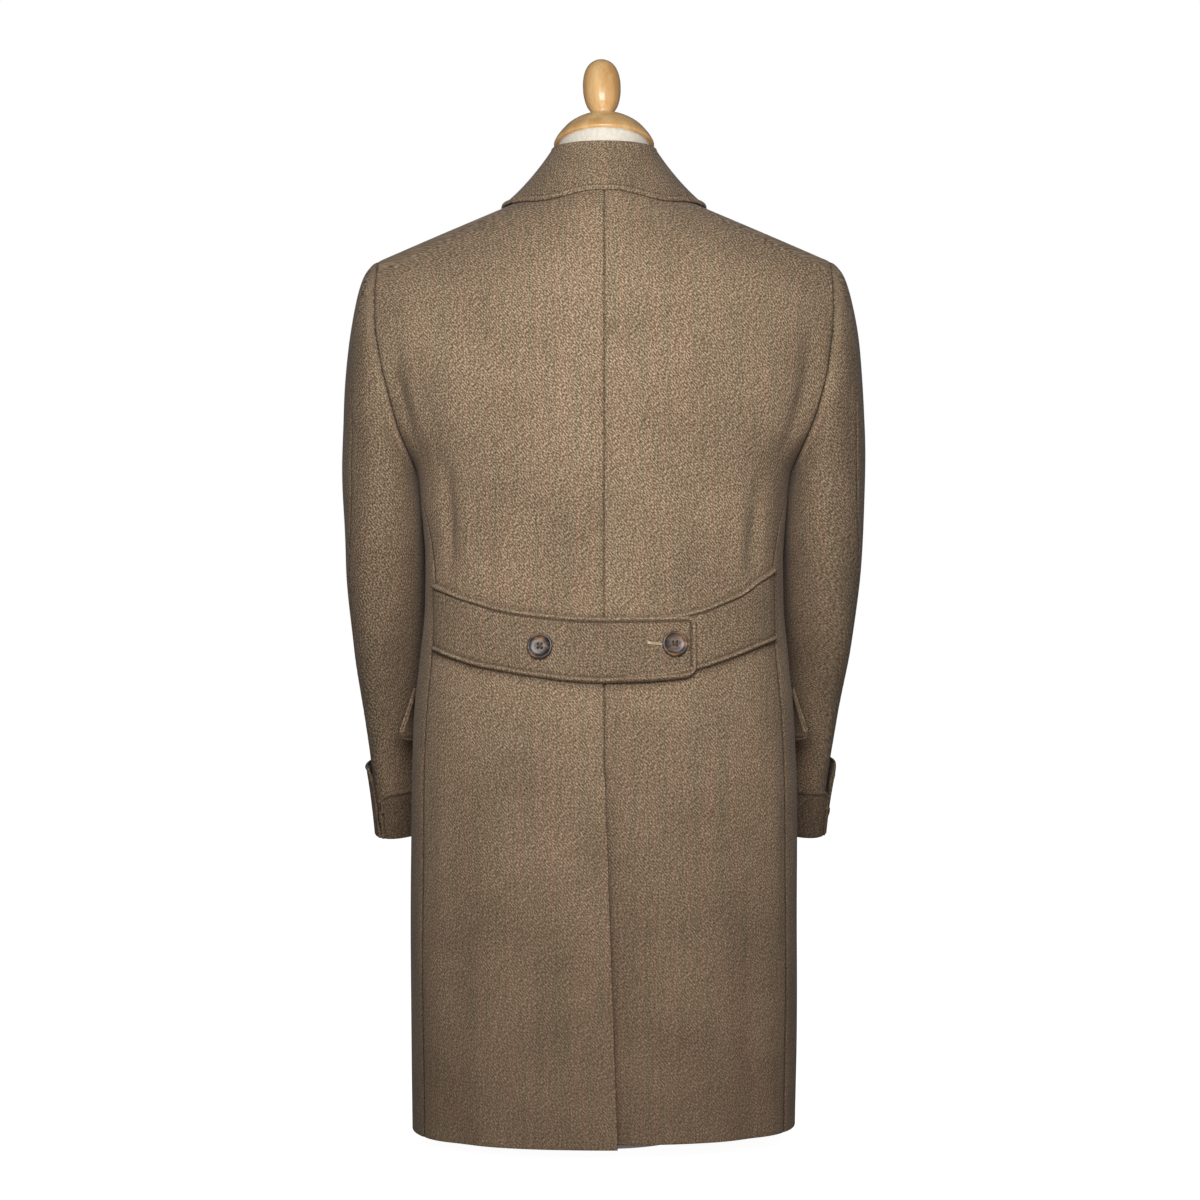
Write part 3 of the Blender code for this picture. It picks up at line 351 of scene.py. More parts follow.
# Angle on the back half where the outline lies at a distance from the centre: a few Newton steps on its sine
def angleAt(x, height):
    level = levelAt(outline, height)
    square = level["square"]
    wanted = np.clip(x / level["halfWidth"], -1.0, 1.0) * (1 - square)
    sine = wanted
    for _ in range(8):
        error = sine * (1 + 3 * square) - 4 * square * sine ** 3 - wanted
        sine = sine - error / (1 + 3 * square - 12 * square * sine ** 2)
    return np.arcsin(np.clip(sine, -1.0, 1.0))


# Points lifted off the coat's face along its normal
def onBody(angle, height, out):
    nudge = 2e-3
    across = bodyPoint(angle + nudge, height) - bodyPoint(angle - nudge, height)
    upwards = bodyPoint(angle, height + nudge) - bodyPoint(angle, height - nudge)
    return bodyPoint(angle, height) + unit(np.cross(across, upwards)) * np.asarray(out)[..., None]


# Unit normals of a grid of points, turned away from a point or points
def gridNormals(points, awayFrom):
    normal = unit(np.cross(np.gradient(points, axis=1), np.gradient(points, axis=0)))
    return normal * np.sign(np.sum(normal * (points - awayFrom)))


# Lengths along the rows and along the columns of a grid, each from its first point
def gridLengths(points):
    across = np.linalg.norm(np.diff(points, axis=1), axis=-1)
    along = np.linalg.norm(np.diff(points, axis=0), axis=-1)
    u = np.pad(np.cumsum(across, axis=1), ((0, 0), (1, 0)))
    return u, np.pad(np.cumsum(along, axis=0), ((1, 0), (0, 0)))


# Running sums along an axis of steps taken in given directions
def runAlong(points, direction, axis):
    taken = np.take(direction, range(1, points.shape[axis]), axis=axis)
    step = np.sum(np.diff(points, axis=axis) * taken, axis=-1)
    return np.insert(np.cumsum(step, axis=axis), 0, 0.0, axis=axis)


# Places on the flat cloth, counted from the column where the warp runs straight. On a hung piece the warp
# is the surface's steepest line and the weft its level one; on others they are the grid's columns and rows
def flatPlaces(points, normal, straight, hung):
    column = int(round(straight * (points.shape[1] - 1)))
    if not hung:
        u, v = gridLengths(points)
        return u - u[:, column:column + 1], v
    warp = unit(np.array([0.0, 0.0, 1.0]) - normal * normal[..., 2:])
    weft = np.cross(warp, normal)
    u, v = runAlong(points, weft, 1), runAlong(points, warp, 0)
    u += (runAlong(points, weft, 0)[:, column] - u[:, column])[:, None]
    firstRow = runAlong(points, warp, 1)[0]
    return u, v + firstRow - firstRow[column]


# Puts points and faces into a mesh object at the origin, smooth, with a flat-cloth map in metres and its painted light
# and shade
def putMesh(name, points, faces, finish, flatMap=None, wear=None):
    mesh = bpy.data.meshes.new(name)
    mesh.from_pydata(points.tolist(), [], faces)
    mesh.polygons.foreach_set("use_smooth", np.ones(len(mesh.polygons), bool))
    if flatMap is not None:
        corners = np.empty(len(mesh.loops), np.int32)
        mesh.loops.foreach_get("vertex_index", corners)
        layer = mesh.uv_layers.new(name="flat")
        layer.data.foreach_set("uv", flatMap[corners].astype(np.float32).ravel())
    if wear is not None:
        mesh.attributes.new("wear", "FLOAT", "POINT").data.foreach_set("value", wear.astype(np.float32))
    mesh.materials.append(finish)
    mesh.update()
    piece = bpy.data.objects.new(name, mesh)
    scene.collection.objects.link(piece)
    return piece


# A thin closed shell: the outer grid, another a cloth's thickness inside it, and rims that are half rounds.
# bulge gives how round the first row, last column, last row and first column are (nearly 0 at a seam)
def clothShell(name, outer, awayFrom, finish, wear, thick=coat["cloth"],
               bulge=(1, 1, 1, 1), straight=0.5, hung=False):
    rows, cols = outer.shape[:2]
    count = rows * cols
    normal = gridNormals(outer, awayFrom)
    inner = outer - normal * thick
    index = np.arange(count).reshape(rows, cols)
    rim = np.concatenate([index[0, :-1], index[:-1, -1], index[-1, :0:-1], index[:0:-1, 0]])
    outward = np.zeros(outer.shape)
    outward[0] += unit(outer[0] - outer[1]) * bulge[0]
    outward[:, -1] += unit(outer[:, -1] - outer[:, -2]) * bulge[1]
    outward[-1] += unit(outer[-1] - outer[-2]) * bulge[2]
    outward[:, 0] += unit(outer[:, 0] - outer[:, 1]) * bulge[3]
    outward = outward.reshape(-1, 3)[rim]
    face, lining = outer.reshape(-1, 3)[rim], inner.reshape(-1, 3)[rim]
    radius = np.linalg.norm(face - lining, axis=-1, keepdims=True) / 2
    turns = np.radians([35, 65, 90, 115, 145])[:, None, None]
    arcs = (face + lining) / 2 + (face - lining) / 2 * np.cos(turns) + outward * radius * np.sin(turns)
    points = np.concatenate([outer.reshape(-1, 3), inner.reshape(-1, 3), arcs.reshape(-1, 3)])
    onArc = 2 * count + np.arange(len(turns) * len(rim)).reshape(len(turns), len(rim))
    loops = [rim, *onArc, rim + count]
    cell = np.stack([index[:-1, :-1], index[:-1, 1:], index[1:, 1:], index[1:, :-1]], axis=-1).reshape(-1, 4)
    quads = [cell, cell[:, ::-1] + count]
    for a, b in zip(loops[:-1], loops[1:]):
        quads.append(np.stack([np.roll(a, -1), a, b, np.roll(b, -1)], axis=-1))
    quads = np.concatenate(quads)
    plain = np.cross(outer[:-1, 1:] - outer[:-1, :-1], outer[1:, :-1] - outer[:-1, :-1])
    if np.sum(plain * normal[:-1, :-1]) < 0:
        quads = quads[:, ::-1]
    flat = np.stack(flatPlaces(outer, normal, straight, hung), axis=-1).reshape(-1, 2)
    flatMap = np.concatenate([flat, flat] + [flat[rim]] * len(turns))
    # painted light and shade of each point, on the outer face and the rims only
    paintedTone = np.broadcast_to(wear, (rows, cols)).ravel()
    paintedTone = np.concatenate([paintedTone, np.zeros(count)] + [paintedTone[rim] - 0.1] * len(turns))  # rims painted darker: painted shade
    area = np.linalg.norm(plain, axis=-1).sum()
    print(f"{name}: {2 * len(quads)} triangles, {area:.4f} m2 of cloth")
    return putMesh(name, points, quads.tolist(), finish, flatMap, paintedTone)


# Ties a piece to the one body, to the node that it stands for and to its material slot
def settle(piece, slot, *nodes):
    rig.ride(piece, "root")
    if nodes:
        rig.replaces(piece, *nodes)
    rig.slot(piece, slot)
    return piece


# sRGB hex to the linear values that a shader takes
def hexColour(code):
    part = np.array([int(code[i:i + 2], 16) for i in (1, 3, 5)]) / 255
    linear = np.where(part <= 0.04045, part / 12.92, ((part + 0.055) / 1.055) ** 2.4)
    return (*linear.tolist(), 1.0)


# Adds a node with its settings and links
def addNode(tree, kind, inputs=None, **settings):
    made = tree.nodes.new(kind)
    for key, value in settings.items():
        setattr(made, key, value)
    for socket, value in (inputs or {}).items():
        if isinstance(value, bpy.types.NodeSocket):
            tree.links.new(value, made.inputs[socket])
        else:
            made.inputs[socket].default_value = value
    return made


# A new material and its shader, with the constant values set on the shader itself
def newFinish(name, **values):
    finish = bpy.data.materials.new(name)
    finish.use_nodes = True
    shader = finish.node_tree.nodes["Principled BSDF"]
    for socket, value in values.items():
        shader.inputs[socket.replace("_", " ")].default_value = value
    return finish, finish.node_tree, shader


# What a maths node gives
def mathOf(tree, operation, *values):
    return addNode(tree, "ShaderNodeMath", dict(enumerate(values)), operation=operation).outputs[0]


# What a vector maths node gives
def vectorOf(tree, operation, *values):
    return addNode(tree, "ShaderNodeVectorMath", dict(enumerate(values)), operation=operation).outputs[0]


# Places on the object, in metres
def objectPlace(tree):
    return addNode(tree, "ShaderNodeTexCoord").outputs["Object"]


# Places stretched and turned
def mapped(tree, place, scale=(1, 1, 1), turn=(0, 0, 0), kind="POINT"):
    inputs = {"Vector": place, "Scale": scale, "Rotation": turn}
    return addNode(tree, "ShaderNodeMapping", inputs, vector_type=kind).outputs[0]


# A noise, of so many cells to a unit of place
def noiseOf(tree, place, scale, detail, output="Fac", distortion=0.0, kind="3D"):
    inputs = {"Vector": place, "Scale": scale, "Detail": detail, "Distortion": distortion}
    return addNode(tree, "ShaderNodeTexNoise", inputs, noise_dimensions=kind).outputs[output]


# A value carried from one span to another
def rangeOf(tree, value, low, high, toLow, toHigh):
    inputs = {"Value": value, 1: low, 2: high, 3: toLow, 4: toHigh}
    return addNode(tree, "ShaderNodeMapRange", inputs).outputs[0]


# A colour between two others
def mixOf(tree, share, first, second):
    return addNode(tree, "ShaderNodeMix", {0: share, 6: first, 7: second}, data_type="RGBA").outputs[2]


# A colour read from stops of a place and an sRGB hex
def rampOf(tree, value, *stops):
    made = addNode(tree, "ShaderNodeValToRGB", {"Fac": value})
    elements = made.color_ramp.elements
    for k in (0, -1):
        elements[k].position, elements[k].color = stops[k][0], hexColour(stops[k][1])
    for place, code in stops[1:-1]:
        elements.new(place).color = hexColour(code)
    return made.outputs[0]


# Links a colour to a shader and, where there is one, a height as relief of a strength and a depth in metres
def dress(tree, shader, colour, height=None, strength=0.0, depth=0.0):
    tree.links.new(colour, shader.inputs["Base Color"])
    if height is not None:
        relief = addNode(tree, "ShaderNodeBump", {"Height": height, "Strength": strength, "Distance": depth})
        tree.links.new(relief.outputs[0], shader.inputs["Normal"])


# Covert cloth: steep twill in marled fawn and brown worsted, brushed a little, so it is matt with fine broken
# diagonals; its dye takes unevenly along the warp. The weave's contrast is painted lower toward the hem as
# painted shade, and each point is made lighter or darker by its painted light and shade
clothLook = {
    "twillMm": 2.6,       # really about 0.9 mm between ridges, drawn coarser so that it shows
    "twillTurn": 40.0,    # degrees of the ridges' normal from the weft
    "fleck": (1 / 2.4, 1 / 1.20, 1), "yarn": (1 / 1.6, 1 / 16.0, 1),  # cells a mm, each way
    "streak": (1 / 7.0, 1 / 230.0, 1), "patch": 1 / 85.0, "jitter": 0.16, "wander": (0.9, 2.6, 0.0),
    "yarnShare": 0.30, "ridgeShare": 0.09, "tint": 0.29,
    "quietBelow": 0.08, "clearAbove": 0.62, "quiet": 0.58,  # heights in metres, and the weave's contrast left there: painted shade toward the hem
    "streakShare": 0.5, "uneven": 0.14, "relief": 0.22, "reliefDepth": 0.0006,
    "dark": "#43372A", "middle": "#86715A", "light": "#CAB99B", "red": "#96735B", "olive": "#86785C",
}


def covertCloth(name, shade=1.0, marled=1.0):
    look = clothLook
    finish, tree, shader = newFinish(name, Roughness=0.86, IOR=1.45, Specular_IOR_Level=0.20,
                                     Sheen_Weight=0.08, Sheen_Roughness=0.45)
    flat = addNode(tree, "ShaderNodeUVMap", uv_map="flat").outputs["UV"]
    mm = vectorOf(tree, "MULTIPLY", flat, (1000, 1000, 1000))
    turned = mapped(tree, mm, turn=(0, 0, math.radians(look["twillTurn"] - 90)), kind="TEXTURE")
    jitter = noiseOf(tree, mm, look["jitter"], 2.0, "Color", kind="2D")
    loose = vectorOf(tree, "ADD", turned, vectorOf(tree, "MULTIPLY", jitter, look["wander"]))
    across = addNode(tree, "ShaderNodeSeparateXYZ", {0: loose}).outputs["Y"]
    ridge = mathOf(tree, "SINE", mathOf(tree, "MULTIPLY", across, 2 * math.pi / look["twillMm"]))
    fleck = noiseOf(tree, mapped(tree, turned, look["fleck"]), 1.0, 0.0, kind="2D")
    streak = noiseOf(tree, mapped(tree, mm, look["streak"]), 1.0, 3.0, kind="2D")
    patch = noiseOf(tree, mm, look["patch"], 2.0, kind="2D")
    yarn = noiseOf(tree, mapped(tree, mm, look["yarn"]), 1.0, 1.0, kind="2D")
    marl = mathOf(tree, "MULTIPLY_ADD", yarn, look["yarnShare"], fleck)
    marl = mathOf(tree, "SUBTRACT", marl, look["yarnShare"] / 2)
    weave = mathOf(tree, "MULTIPLY_ADD", ridge, look["ridgeShare"], marl)
    up = addNode(tree, "ShaderNodeSeparateXYZ", {0: objectPlace(tree)}).outputs["Z"]
    # the weave's contrast painted lower toward the hem, where less light falls: painted shade
    clear = rangeOf(tree, up, look["quietBelow"], look["clearAbove"], look["quiet"] * marled, marled)
    weave = mathOf(tree, "MULTIPLY_ADD", mathOf(tree, "SUBTRACT", weave, 0.5), clear, 0.5)
    yarns = rampOf(tree, weave, (0.22, look["dark"]), (0.50, look["middle"]), (0.78, look["light"]))
    dye = rampOf(tree, streak, (0.32, look["olive"]), (0.68, look["red"]))
    tinted = mixOf(tree, look["tint"], yarns, dye)
    both = mathOf(tree, "MULTIPLY_ADD", streak, look["streakShare"], patch)
    light = rangeOf(tree, both, 0.45, 1.05, (1 - look["uneven"]) * shade, (1 + look["uneven"]) * shade)
    # painted light and shade of each point, read from its attribute: the colour is made brighter or darker by it
    paintedTone = addNode(tree, "ShaderNodeAttribute", attribute_name="wear").outputs["Fac"]
    light = mathOf(tree, "MULTIPLY_ADD", paintedTone, light, light)
    tone = addNode(tree, "ShaderNodeVectorMath", {0: tinted, "Scale": light}, operation="SCALE").outputs[0]
    dress(tree, shader, tone, weave, look["relief"], look["reliefDepth"])
    return finish


# A stuff whose colour wavers between two shades, of so many cells to a metre
def wavering(name, dark, pale, cells, detail, relief=0.0, **values):
    finish, tree, shader = newFinish(name, **values)
    grain = noiseOf(tree, objectPlace(tree), cells, detail)
    colour = mixOf(tree, grain, hexColour(dark), hexColour(pale))
    dress(tree, shader, colour, grain if relief else None, relief, 0.0005)
    return finish


# The belt, collar and cuffs take copies of the cloth made darker by their shade factor: painted shade
cloth = covertCloth("covert_twill", 1.0, 0.88)
beltCloth = covertCloth("covert_twill_belt", 0.80, 0.92)
collarCloth = covertCloth("covert_twill_collar", 0.97, 0.92)
cuffCloth = covertCloth("covert_twill_cuff", 0.58, 0.8)  # painted shade: darker, as the photo shows the cuffs, with its weave's contrast lowered
# Sewing thread and buttonhole twist: spun thread, so each stitch is a soft bead of two close shades
thread = wavering("sewing_thread", "#4E3F31", "#7A6650", 900.0, 1.0, Roughness=0.6, IOR=1.5)
holeThread = wavering("buttonhole_twist", "#C4AE8A", "#E6D6B6", 900.0, 1.0, Roughness=0.6, IOR=1.5)
# Painted steel: cream satin enamel with a faint orange peel
steel = wavering("painted_steel", "#E6E2D8", "#F2EFE6", 420.0, 2.0, 0.05, Roughness=0.38, IOR=1.5)


# Varnished beech: turned hardwood with fine flecked grain under a glossy honey varnish
def varnishedBeech():
    finish, tree, shader = newFinish("varnished_beech", Roughness=0.34, IOR=1.5,
                                     Coat_Weight=0.55, Coat_Roughness=0.12)
    spot, lean = objectPlace(tree), (0.25, 0.1, 0)
    lines = noiseOf(tree, mapped(tree, spot, (520, 520, 42), lean), 1.0, 4.0, distortion=0.4)
    bands = noiseOf(tree, mapped(tree, spot, (70, 70, 9), lean), 1.0, 2.0)
    both = mathOf(tree, "MULTIPLY_ADD", lines, 0.5, bands)
    dress(tree, shader, rampOf(tree, both, (0.42, "#D39A55"), (1.0, "#F8D092")), lines, 0.06, 0.0004)
    return finish


# Form canvas: plain-woven cream cotton stretched over the form, matt, with a faint square thread grid
def formCanvas():
    finish, tree, shader = newFinish("form_canvas", Roughness=0.9, IOR=1.45, Sheen_Weight=0.05)
    spot = objectPlace(tree)
    weave = mapped(tree, spot, (2300, 2300, 2300))  # a thread each 2.7 mm, really about 0.9 mm
    apart = addNode(tree, "ShaderNodeSeparateXYZ", {0: weave})
    over, along = (mathOf(tree, "SINE", apart.outputs[axis]) for axis in "XZ")
    slub = noiseOf(tree, spot, 260.0, 3.0)
    mixed = mathOf(tree, "MULTIPLY_ADD", mathOf(tree, "MULTIPLY", over, along), 0.12, slub)
    dress(tree, shader, rampOf(tree, mixed, (0.2, "#E2DAC6"), (0.8, "#F8F3E6")), mixed, 0.25, 0.0004)
    return finish


# Polished horn: dark, cloudy brown-grey with amber streaks, buffed to a soft gloss
def polishedHorn():
    finish, tree, shader = newFinish("polished_horn", Roughness=0.36, IOR=1.54,
                                     Coat_Weight=0.10, Coat_Roughness=0.15)
    drawn = mapped(tree, objectPlace(tree), (55, 55, 150), (0, 0.7, 0))
    cloud = noiseOf(tree, drawn, 1.0, 4.0, distortion=1.1)
    stops = (0.36, "#221A16"), (0.47, "#3A3230"), (0.56, "#5E4C3C"), (0.70, "#9C6C3A")
    dress(tree, shader, rampOf(tree, cloud, *stops))
    return finish


beech, canvas, horn = varnishedBeech(), formCanvas(), polishedHorn()
print("materials ready")


edge = {"grooveWidth": 0.0012, "shadeWidth": 0.0009, "round": 0.7, "rub": 1.5}
puckers = {"reach": 0.007, "pitch": 0.0125, "uneven": 2.2, "wander": 31.0}
stitch = {"pitch": 0.0034, "length": 0.0025, "girth": 0.00034, "sides": 6}


# Raised edge between a free edge and its row of stitches: half a sine wave, then a groove at the stitches
def swell(inside, width, rise, groove):
    hump = np.sin(math.pi * np.clip(inside / width, 0.0, 1.0)) ** edge["round"]
    atEdge, atStitches = (bell(off, edge["grooveWidth"]) for off in (inside, inside - width))
    return rise * (hump - 0.5 * atEdge) - groove * atStitches


# Painted highlight and shade that go with a swelled edge: a painted highlight on its crest, painted shade in the
# groove of its stitches
def edgeWear(inside, width, crest=0.20, groove=0.42):
    hump = np.sin(math.pi * np.clip(inside / width, 0.0, 1.0)) ** edge["rub"]
    return crest * hump - groove * bell(inside - width, edge["shadeWidth"])


# Painted shade held in a seam: a bell across it
def seamWear(distance, depth=0.50, width=0.0010):
    return -depth * bell(distance, width)


# Small uneven gathers along a seam: a sine along it, fading off it
def pucker(off, along, size=0.00022):
    phase = 2 * math.pi * along / puckers["pitch"] + puckers["uneven"] * np.sin(along * puckers["wander"])
    return size * bell(off, puckers["reach"]) * np.sin(phase)


# What a grid holds at given places, read between its lines
def onGrid(grid, row, col):
    r, c = np.clip(row, 0, len(grid) - 1.001), np.clip(col, 0, grid.shape[1] - 1.001)
    r0, c0 = r.astype(int), c.astype(int)
    fr, fc = (r - r0)[:, None], (c - c0)[:, None]
    low = grid[r0, c0] * (1 - fc) + grid[r0, c0 + 1] * fc
    high = grid[r0 + 1, c0] * (1 - fc) + grid[r0 + 1, c0 + 1] * fc
    return low * (1 - fr) + high * fr


# A row of stitches at places on a grid, as one mesh: slim beads, each on the path's own direction
def stitchRow(name, grid, normal, row, col):
    path = onGrid(grid, row, col)
    run = pathLengths(path)
    at = np.arange(stitch["pitch"] / 2, run[-1], stitch["pitch"])
    pick = lambda values: np.stack([np.interp(at, run, values[:, k]) for k in range(3)], axis=-1)
    up, ahead = unit(pick(onGrid(normal, row, col))), unit(pick(np.gradient(path, run, axis=0)))
    aside = np.cross(up, ahead)
    along = np.array([-1.0, -0.72, 0.0, 0.72, 1.0]) * stitch["length"] / 2
    size = np.array([0.25, 0.85, 1.0, 0.85, 0.25])[:, None] * stitch["girth"]
    turn = np.arange(stitch["sides"]) * 2 * math.pi / stitch["sides"]
    bead = (pick(path)[:, None, None] + ahead[:, None, None] * along[:, None, None]
            + aside[:, None, None] * (size * np.cos(turn))[..., None]
            + up[:, None, None] * (size * np.sin(turn))[..., None])
    faces = []
    for k in range(len(at)):
        faces += tubeFaces(len(along), len(turn), k * len(along) * len(turn))
    return settle(putMesh(name, bead.reshape(-1, 3), faces, thread), "covert_cloth")


# Long edges of the half belt's two parts
beltLeft = columns("x top bottom", [
    (-0.1740, 0.5795, 0.5095), (-0.1480, 0.5690, 0.5000), (-0.1265, 0.5620, 0.4935),
    (-0.1050, 0.5555, 0.4895), (-0.0645, 0.5490, 0.4830), (-0.0240, 0.5455, 0.4785),
    (0.0000, 0.5447, 0.4776), (0.0360, 0.5450, 0.4785), (0.0700, 0.5455, 0.4808),
    (0.0920, 0.5460, 0.4835),
])
beltRight = columns("x top bottom", [
    (0.0200, 0.5440, 0.4800), (0.0700, 0.5480, 0.4850), (0.0980, 0.5540, 0.4920),
    (0.1185, 0.5620, 0.4985), (0.1400, 0.5720, 0.5065), (0.1605, 0.5870, 0.5150),
    (0.1740, 0.5960, 0.5200),
])
beltWhole = {name: np.concatenate([beltLeft[name][:-2], beltRight[name][2:]]) for name in beltLeft}
panel = {
    "lengths": ("skirt", "bodice"), "backColumns": 84, "frontColumns": 88, "lowerRows": 178,
    "upperRows": 84, "crowd": 1.6, "rounds": 14, "firstGuess": 0.25, "wider": 1.06, "seamReach": 0.16,
    "centreReach": 0.25, "seamDip": 0.0010, "armholeDip": 0.0006, "seamWidth": 0.0020, "topDip": 0.0009,
    "topWidth": 0.0022, "foldShade": 14.0, "seamShade": 0.65, "armholeShade": 0.0010, "sideShade": 0.0013,
    "ventShade": 0.40, "ventShadeWidth": 0.0030, "ventSoftShade": 0.14, "ventSoftWidth": 0.014,
    "aboveBelt": (0.26, 0.0032), "belowBelt": (0.42, 0.0050), "underlapBelow": 0.020,
    "underlapOver": 0.03, "sewnBelow": 0.004, "sewnOver": 0.012, "ventStepX": 0.034,
    "ventStepOver": 0.018, "ventStepAbove": 0.03, "ventStepFade": 0.04, "frontStepX": 0.066,
    "frontStepOver": 0.026, "frontStepTop": 0.880, "frontStepFade": 0.08,
}


# Heights of a panel's points between the underarm and the shoulder: each row climbs its share of the way
# to the ceiling, found in a few rounds because the ceiling depends on where the point lies
def upperGrid(shares, angle, ceiling):
    height = coat["underarm"] + shares[:, None] * panel["firstGuess"] * np.ones(angle.shape)
    for _ in range(coat["rounds"]):
        level = levelAt(outline, height)
        x = level["halfWidth"] * aroundBody(angle, level["square"])[0]
        height = coat["underarm"] + shares[:, None] * (ceiling(x) - coat["underarm"])
    return height


# Top edge of the back: a shallow bow for the neckline, then the shoulder line
def backTop(x):
    neckSide = ridgeHeight(coat["neckX"])
    neckline = neckSide + (coat["nape"] - neckSide) * (1 - (x / coat["neckX"]) ** 2)
    return np.where(np.abs(x) < coat["neckX"], neckline, ridgeHeight(x))


# The nodes of a piece whose solid is in several lengths
def lengthNodes(name, lengths):
    return [f"{name}_{length}" for length in lengths]


# Rows of a panel: even from the hem to the underarm, then closer and closer to the shoulder
def panelRows(side):
    hem = coat["hem"] + coat["hemStep"] * (side > 0)
    lower = hem + (coat["underarm"] - hem) * np.linspace(0.0, 1.0, panel["lowerRows"])
    shares = 1 - (1 - np.linspace(0.0, 1.0, panel["upperRows"] + 1)[1:]) ** panel["crowd"]
    return lower, shares


# Angle just behind (-1) or before (1) the side seam
def besideSeam(height, way):
    return np.radians(levelAt(sideSeam, height)["angle"]) + way * coat["seamGap"] / panel["seamReach"]


# Shade on the back just outside the belt's long edges, softer and deeper below it: bells of the distance
def besideBelt(x, height):
    edges = levelAt(beltWhole, x)
    above = seamWear(height - edges["top"], *panel["aboveBelt"])
    return above + seamWear(edges["bottom"] - height, *panel["belowBelt"])


# Share of the way down the vent
def downVent(height):
    return np.clip((coat["ventTop"] - height) / (coat["ventTop"] - coat["hem"]), 0.0, 1.0)


# A panel's grid from its lower and upper part: angles on its side, heights, and points with the shoulder gap
def panelGrid(side, lower, lowAngle, high, highAngle, forward):
    angle = np.concatenate([lowAngle, highAngle]) * side
    height = np.concatenate([np.repeat(lower[:, None], angle.shape[1], axis=1), high])
    points = bodyPoint(angle, height)
    points[-1, :, 1] += forward * coat["seamGap"] / 2
    return angle, height, points


# How a panel lies beside its side seam or armhole and its shoulder seam: sunk, by bells of the distance
def seamDips(fromSide, fromTop, height):
    dip = np.where(height > coat["underarm"], panel["armholeDip"], panel["seamDip"])
    return -dip * bell(fromSide, panel["seamWidth"]) - panel["topDip"] * bell(fromTop, panel["topWidth"])


# Shade in the hollows of a panel's creases
def hollowShade(angle, height):
    return panel["foldShade"] * np.minimum(clothRise(angle, height), 0)


# Makes a panel's shell from its points and how far they are lifted
def panelShell(name, side, points, out, wear, bulge, straight):
    normal = gridNormals(points, deepInside)
    piece = clothShell(f"{sideName(side)}_{name}", points + normal * out[..., None], deepInside, cloth, wear,
                       bulge=bulge, straight=straight, hung=True)
    return settle(piece, "covert_cloth", *lengthNodes(f"{name}_{sideName(side)}", panel["lengths"]))


# One back panel: the body's face between the centre seam and the side seam or armhole, sunk at each seam
def backPanel(side):
    share = endSpaced(panel["backColumns"])[None, :]
    lower, shares = panelRows(side)
    lap = -coat["ventOverlap"] * downVent(lower)
    belowTop = coat["ventTop"] - panel["underlapBelow"] - lower
    under = -coat["ventUnderlap"] * ease(belowTop / panel["underlapOver"])
    first = coat["seamGap"] / 2 + (lap if side < 0 else under)
    first = first / (levelAt(outline, lower)["halfWidth"] * panel["wider"])
    lowAngle = first[:, None] + share * (besideSeam(lower, -1) - first)[:, None]
    edgeHeight = coat["underarm"] + shares * (ridgeHeight(coat["tipX"]) - coat["underarm"])
    start = coat["seamGap"] / 2 / panel["centreReach"]
    for _ in range(panel["rounds"]):  # the armhole edge and its height settle together
        last = angleAt(levelAt(armhole, edgeHeight)["backX"], edgeHeight)
        highAngle = start + share * (last - start)[:, None]
        high = upperGrid(shares, highAngle, backTop)
        edgeHeight = high[:, -1]
    angle, height, points = panelGrid(side, lower, lowAngle, high, highAngle, -1)
    u, v = gridLengths(points)
    fromSide = u[:, -1:] - u
    sewn = ease((height - coat["ventTop"] + panel["sewnBelow"]) / panel["sewnOver"])
    out = seamDips(fromSide, v[-1:] - v, height) - panel["seamDip"] * sewn * bell(u, panel["seamWidth"])
    out += pucker(u, v) * sewn + pucker(fromSide, v + 0.3)
    # painted shade in the centre and side seams, beside the belt's edges and in the creases' hollows
    wear = seamWear(u) * sewn + seamWear(fromSide, panel["seamShade"]) + besideBelt(points[..., 0], height)
    wear += hollowShade(angle, height)
    if side > 0:  # under the left panel's edge, which laps over this one in the vent
        inVent = ease((coat["ventTop"] + panel["ventStepAbove"] - height) / panel["ventStepFade"])
        out -= coat["ventStep"] * ease((panel["ventStepX"] - points[..., 0]) / panel["ventStepOver"]) * inVent
        # painted shadow of the left panel's edge, laid on this one beside it
        fromLap = points[..., 0] - coat["ventOverlap"] * downVent(height)
        shade = seamWear(fromLap, panel["ventShade"], panel["ventShadeWidth"])
        shade += seamWear(fromLap, panel["ventSoftShade"], panel["ventSoftWidth"])
        wear += shade * (1 - sewn)
    return panelShell("back", side, points, out, wear, (1, 0.1, 0.1, 1 if side < 0 else 0.6), 0.0)


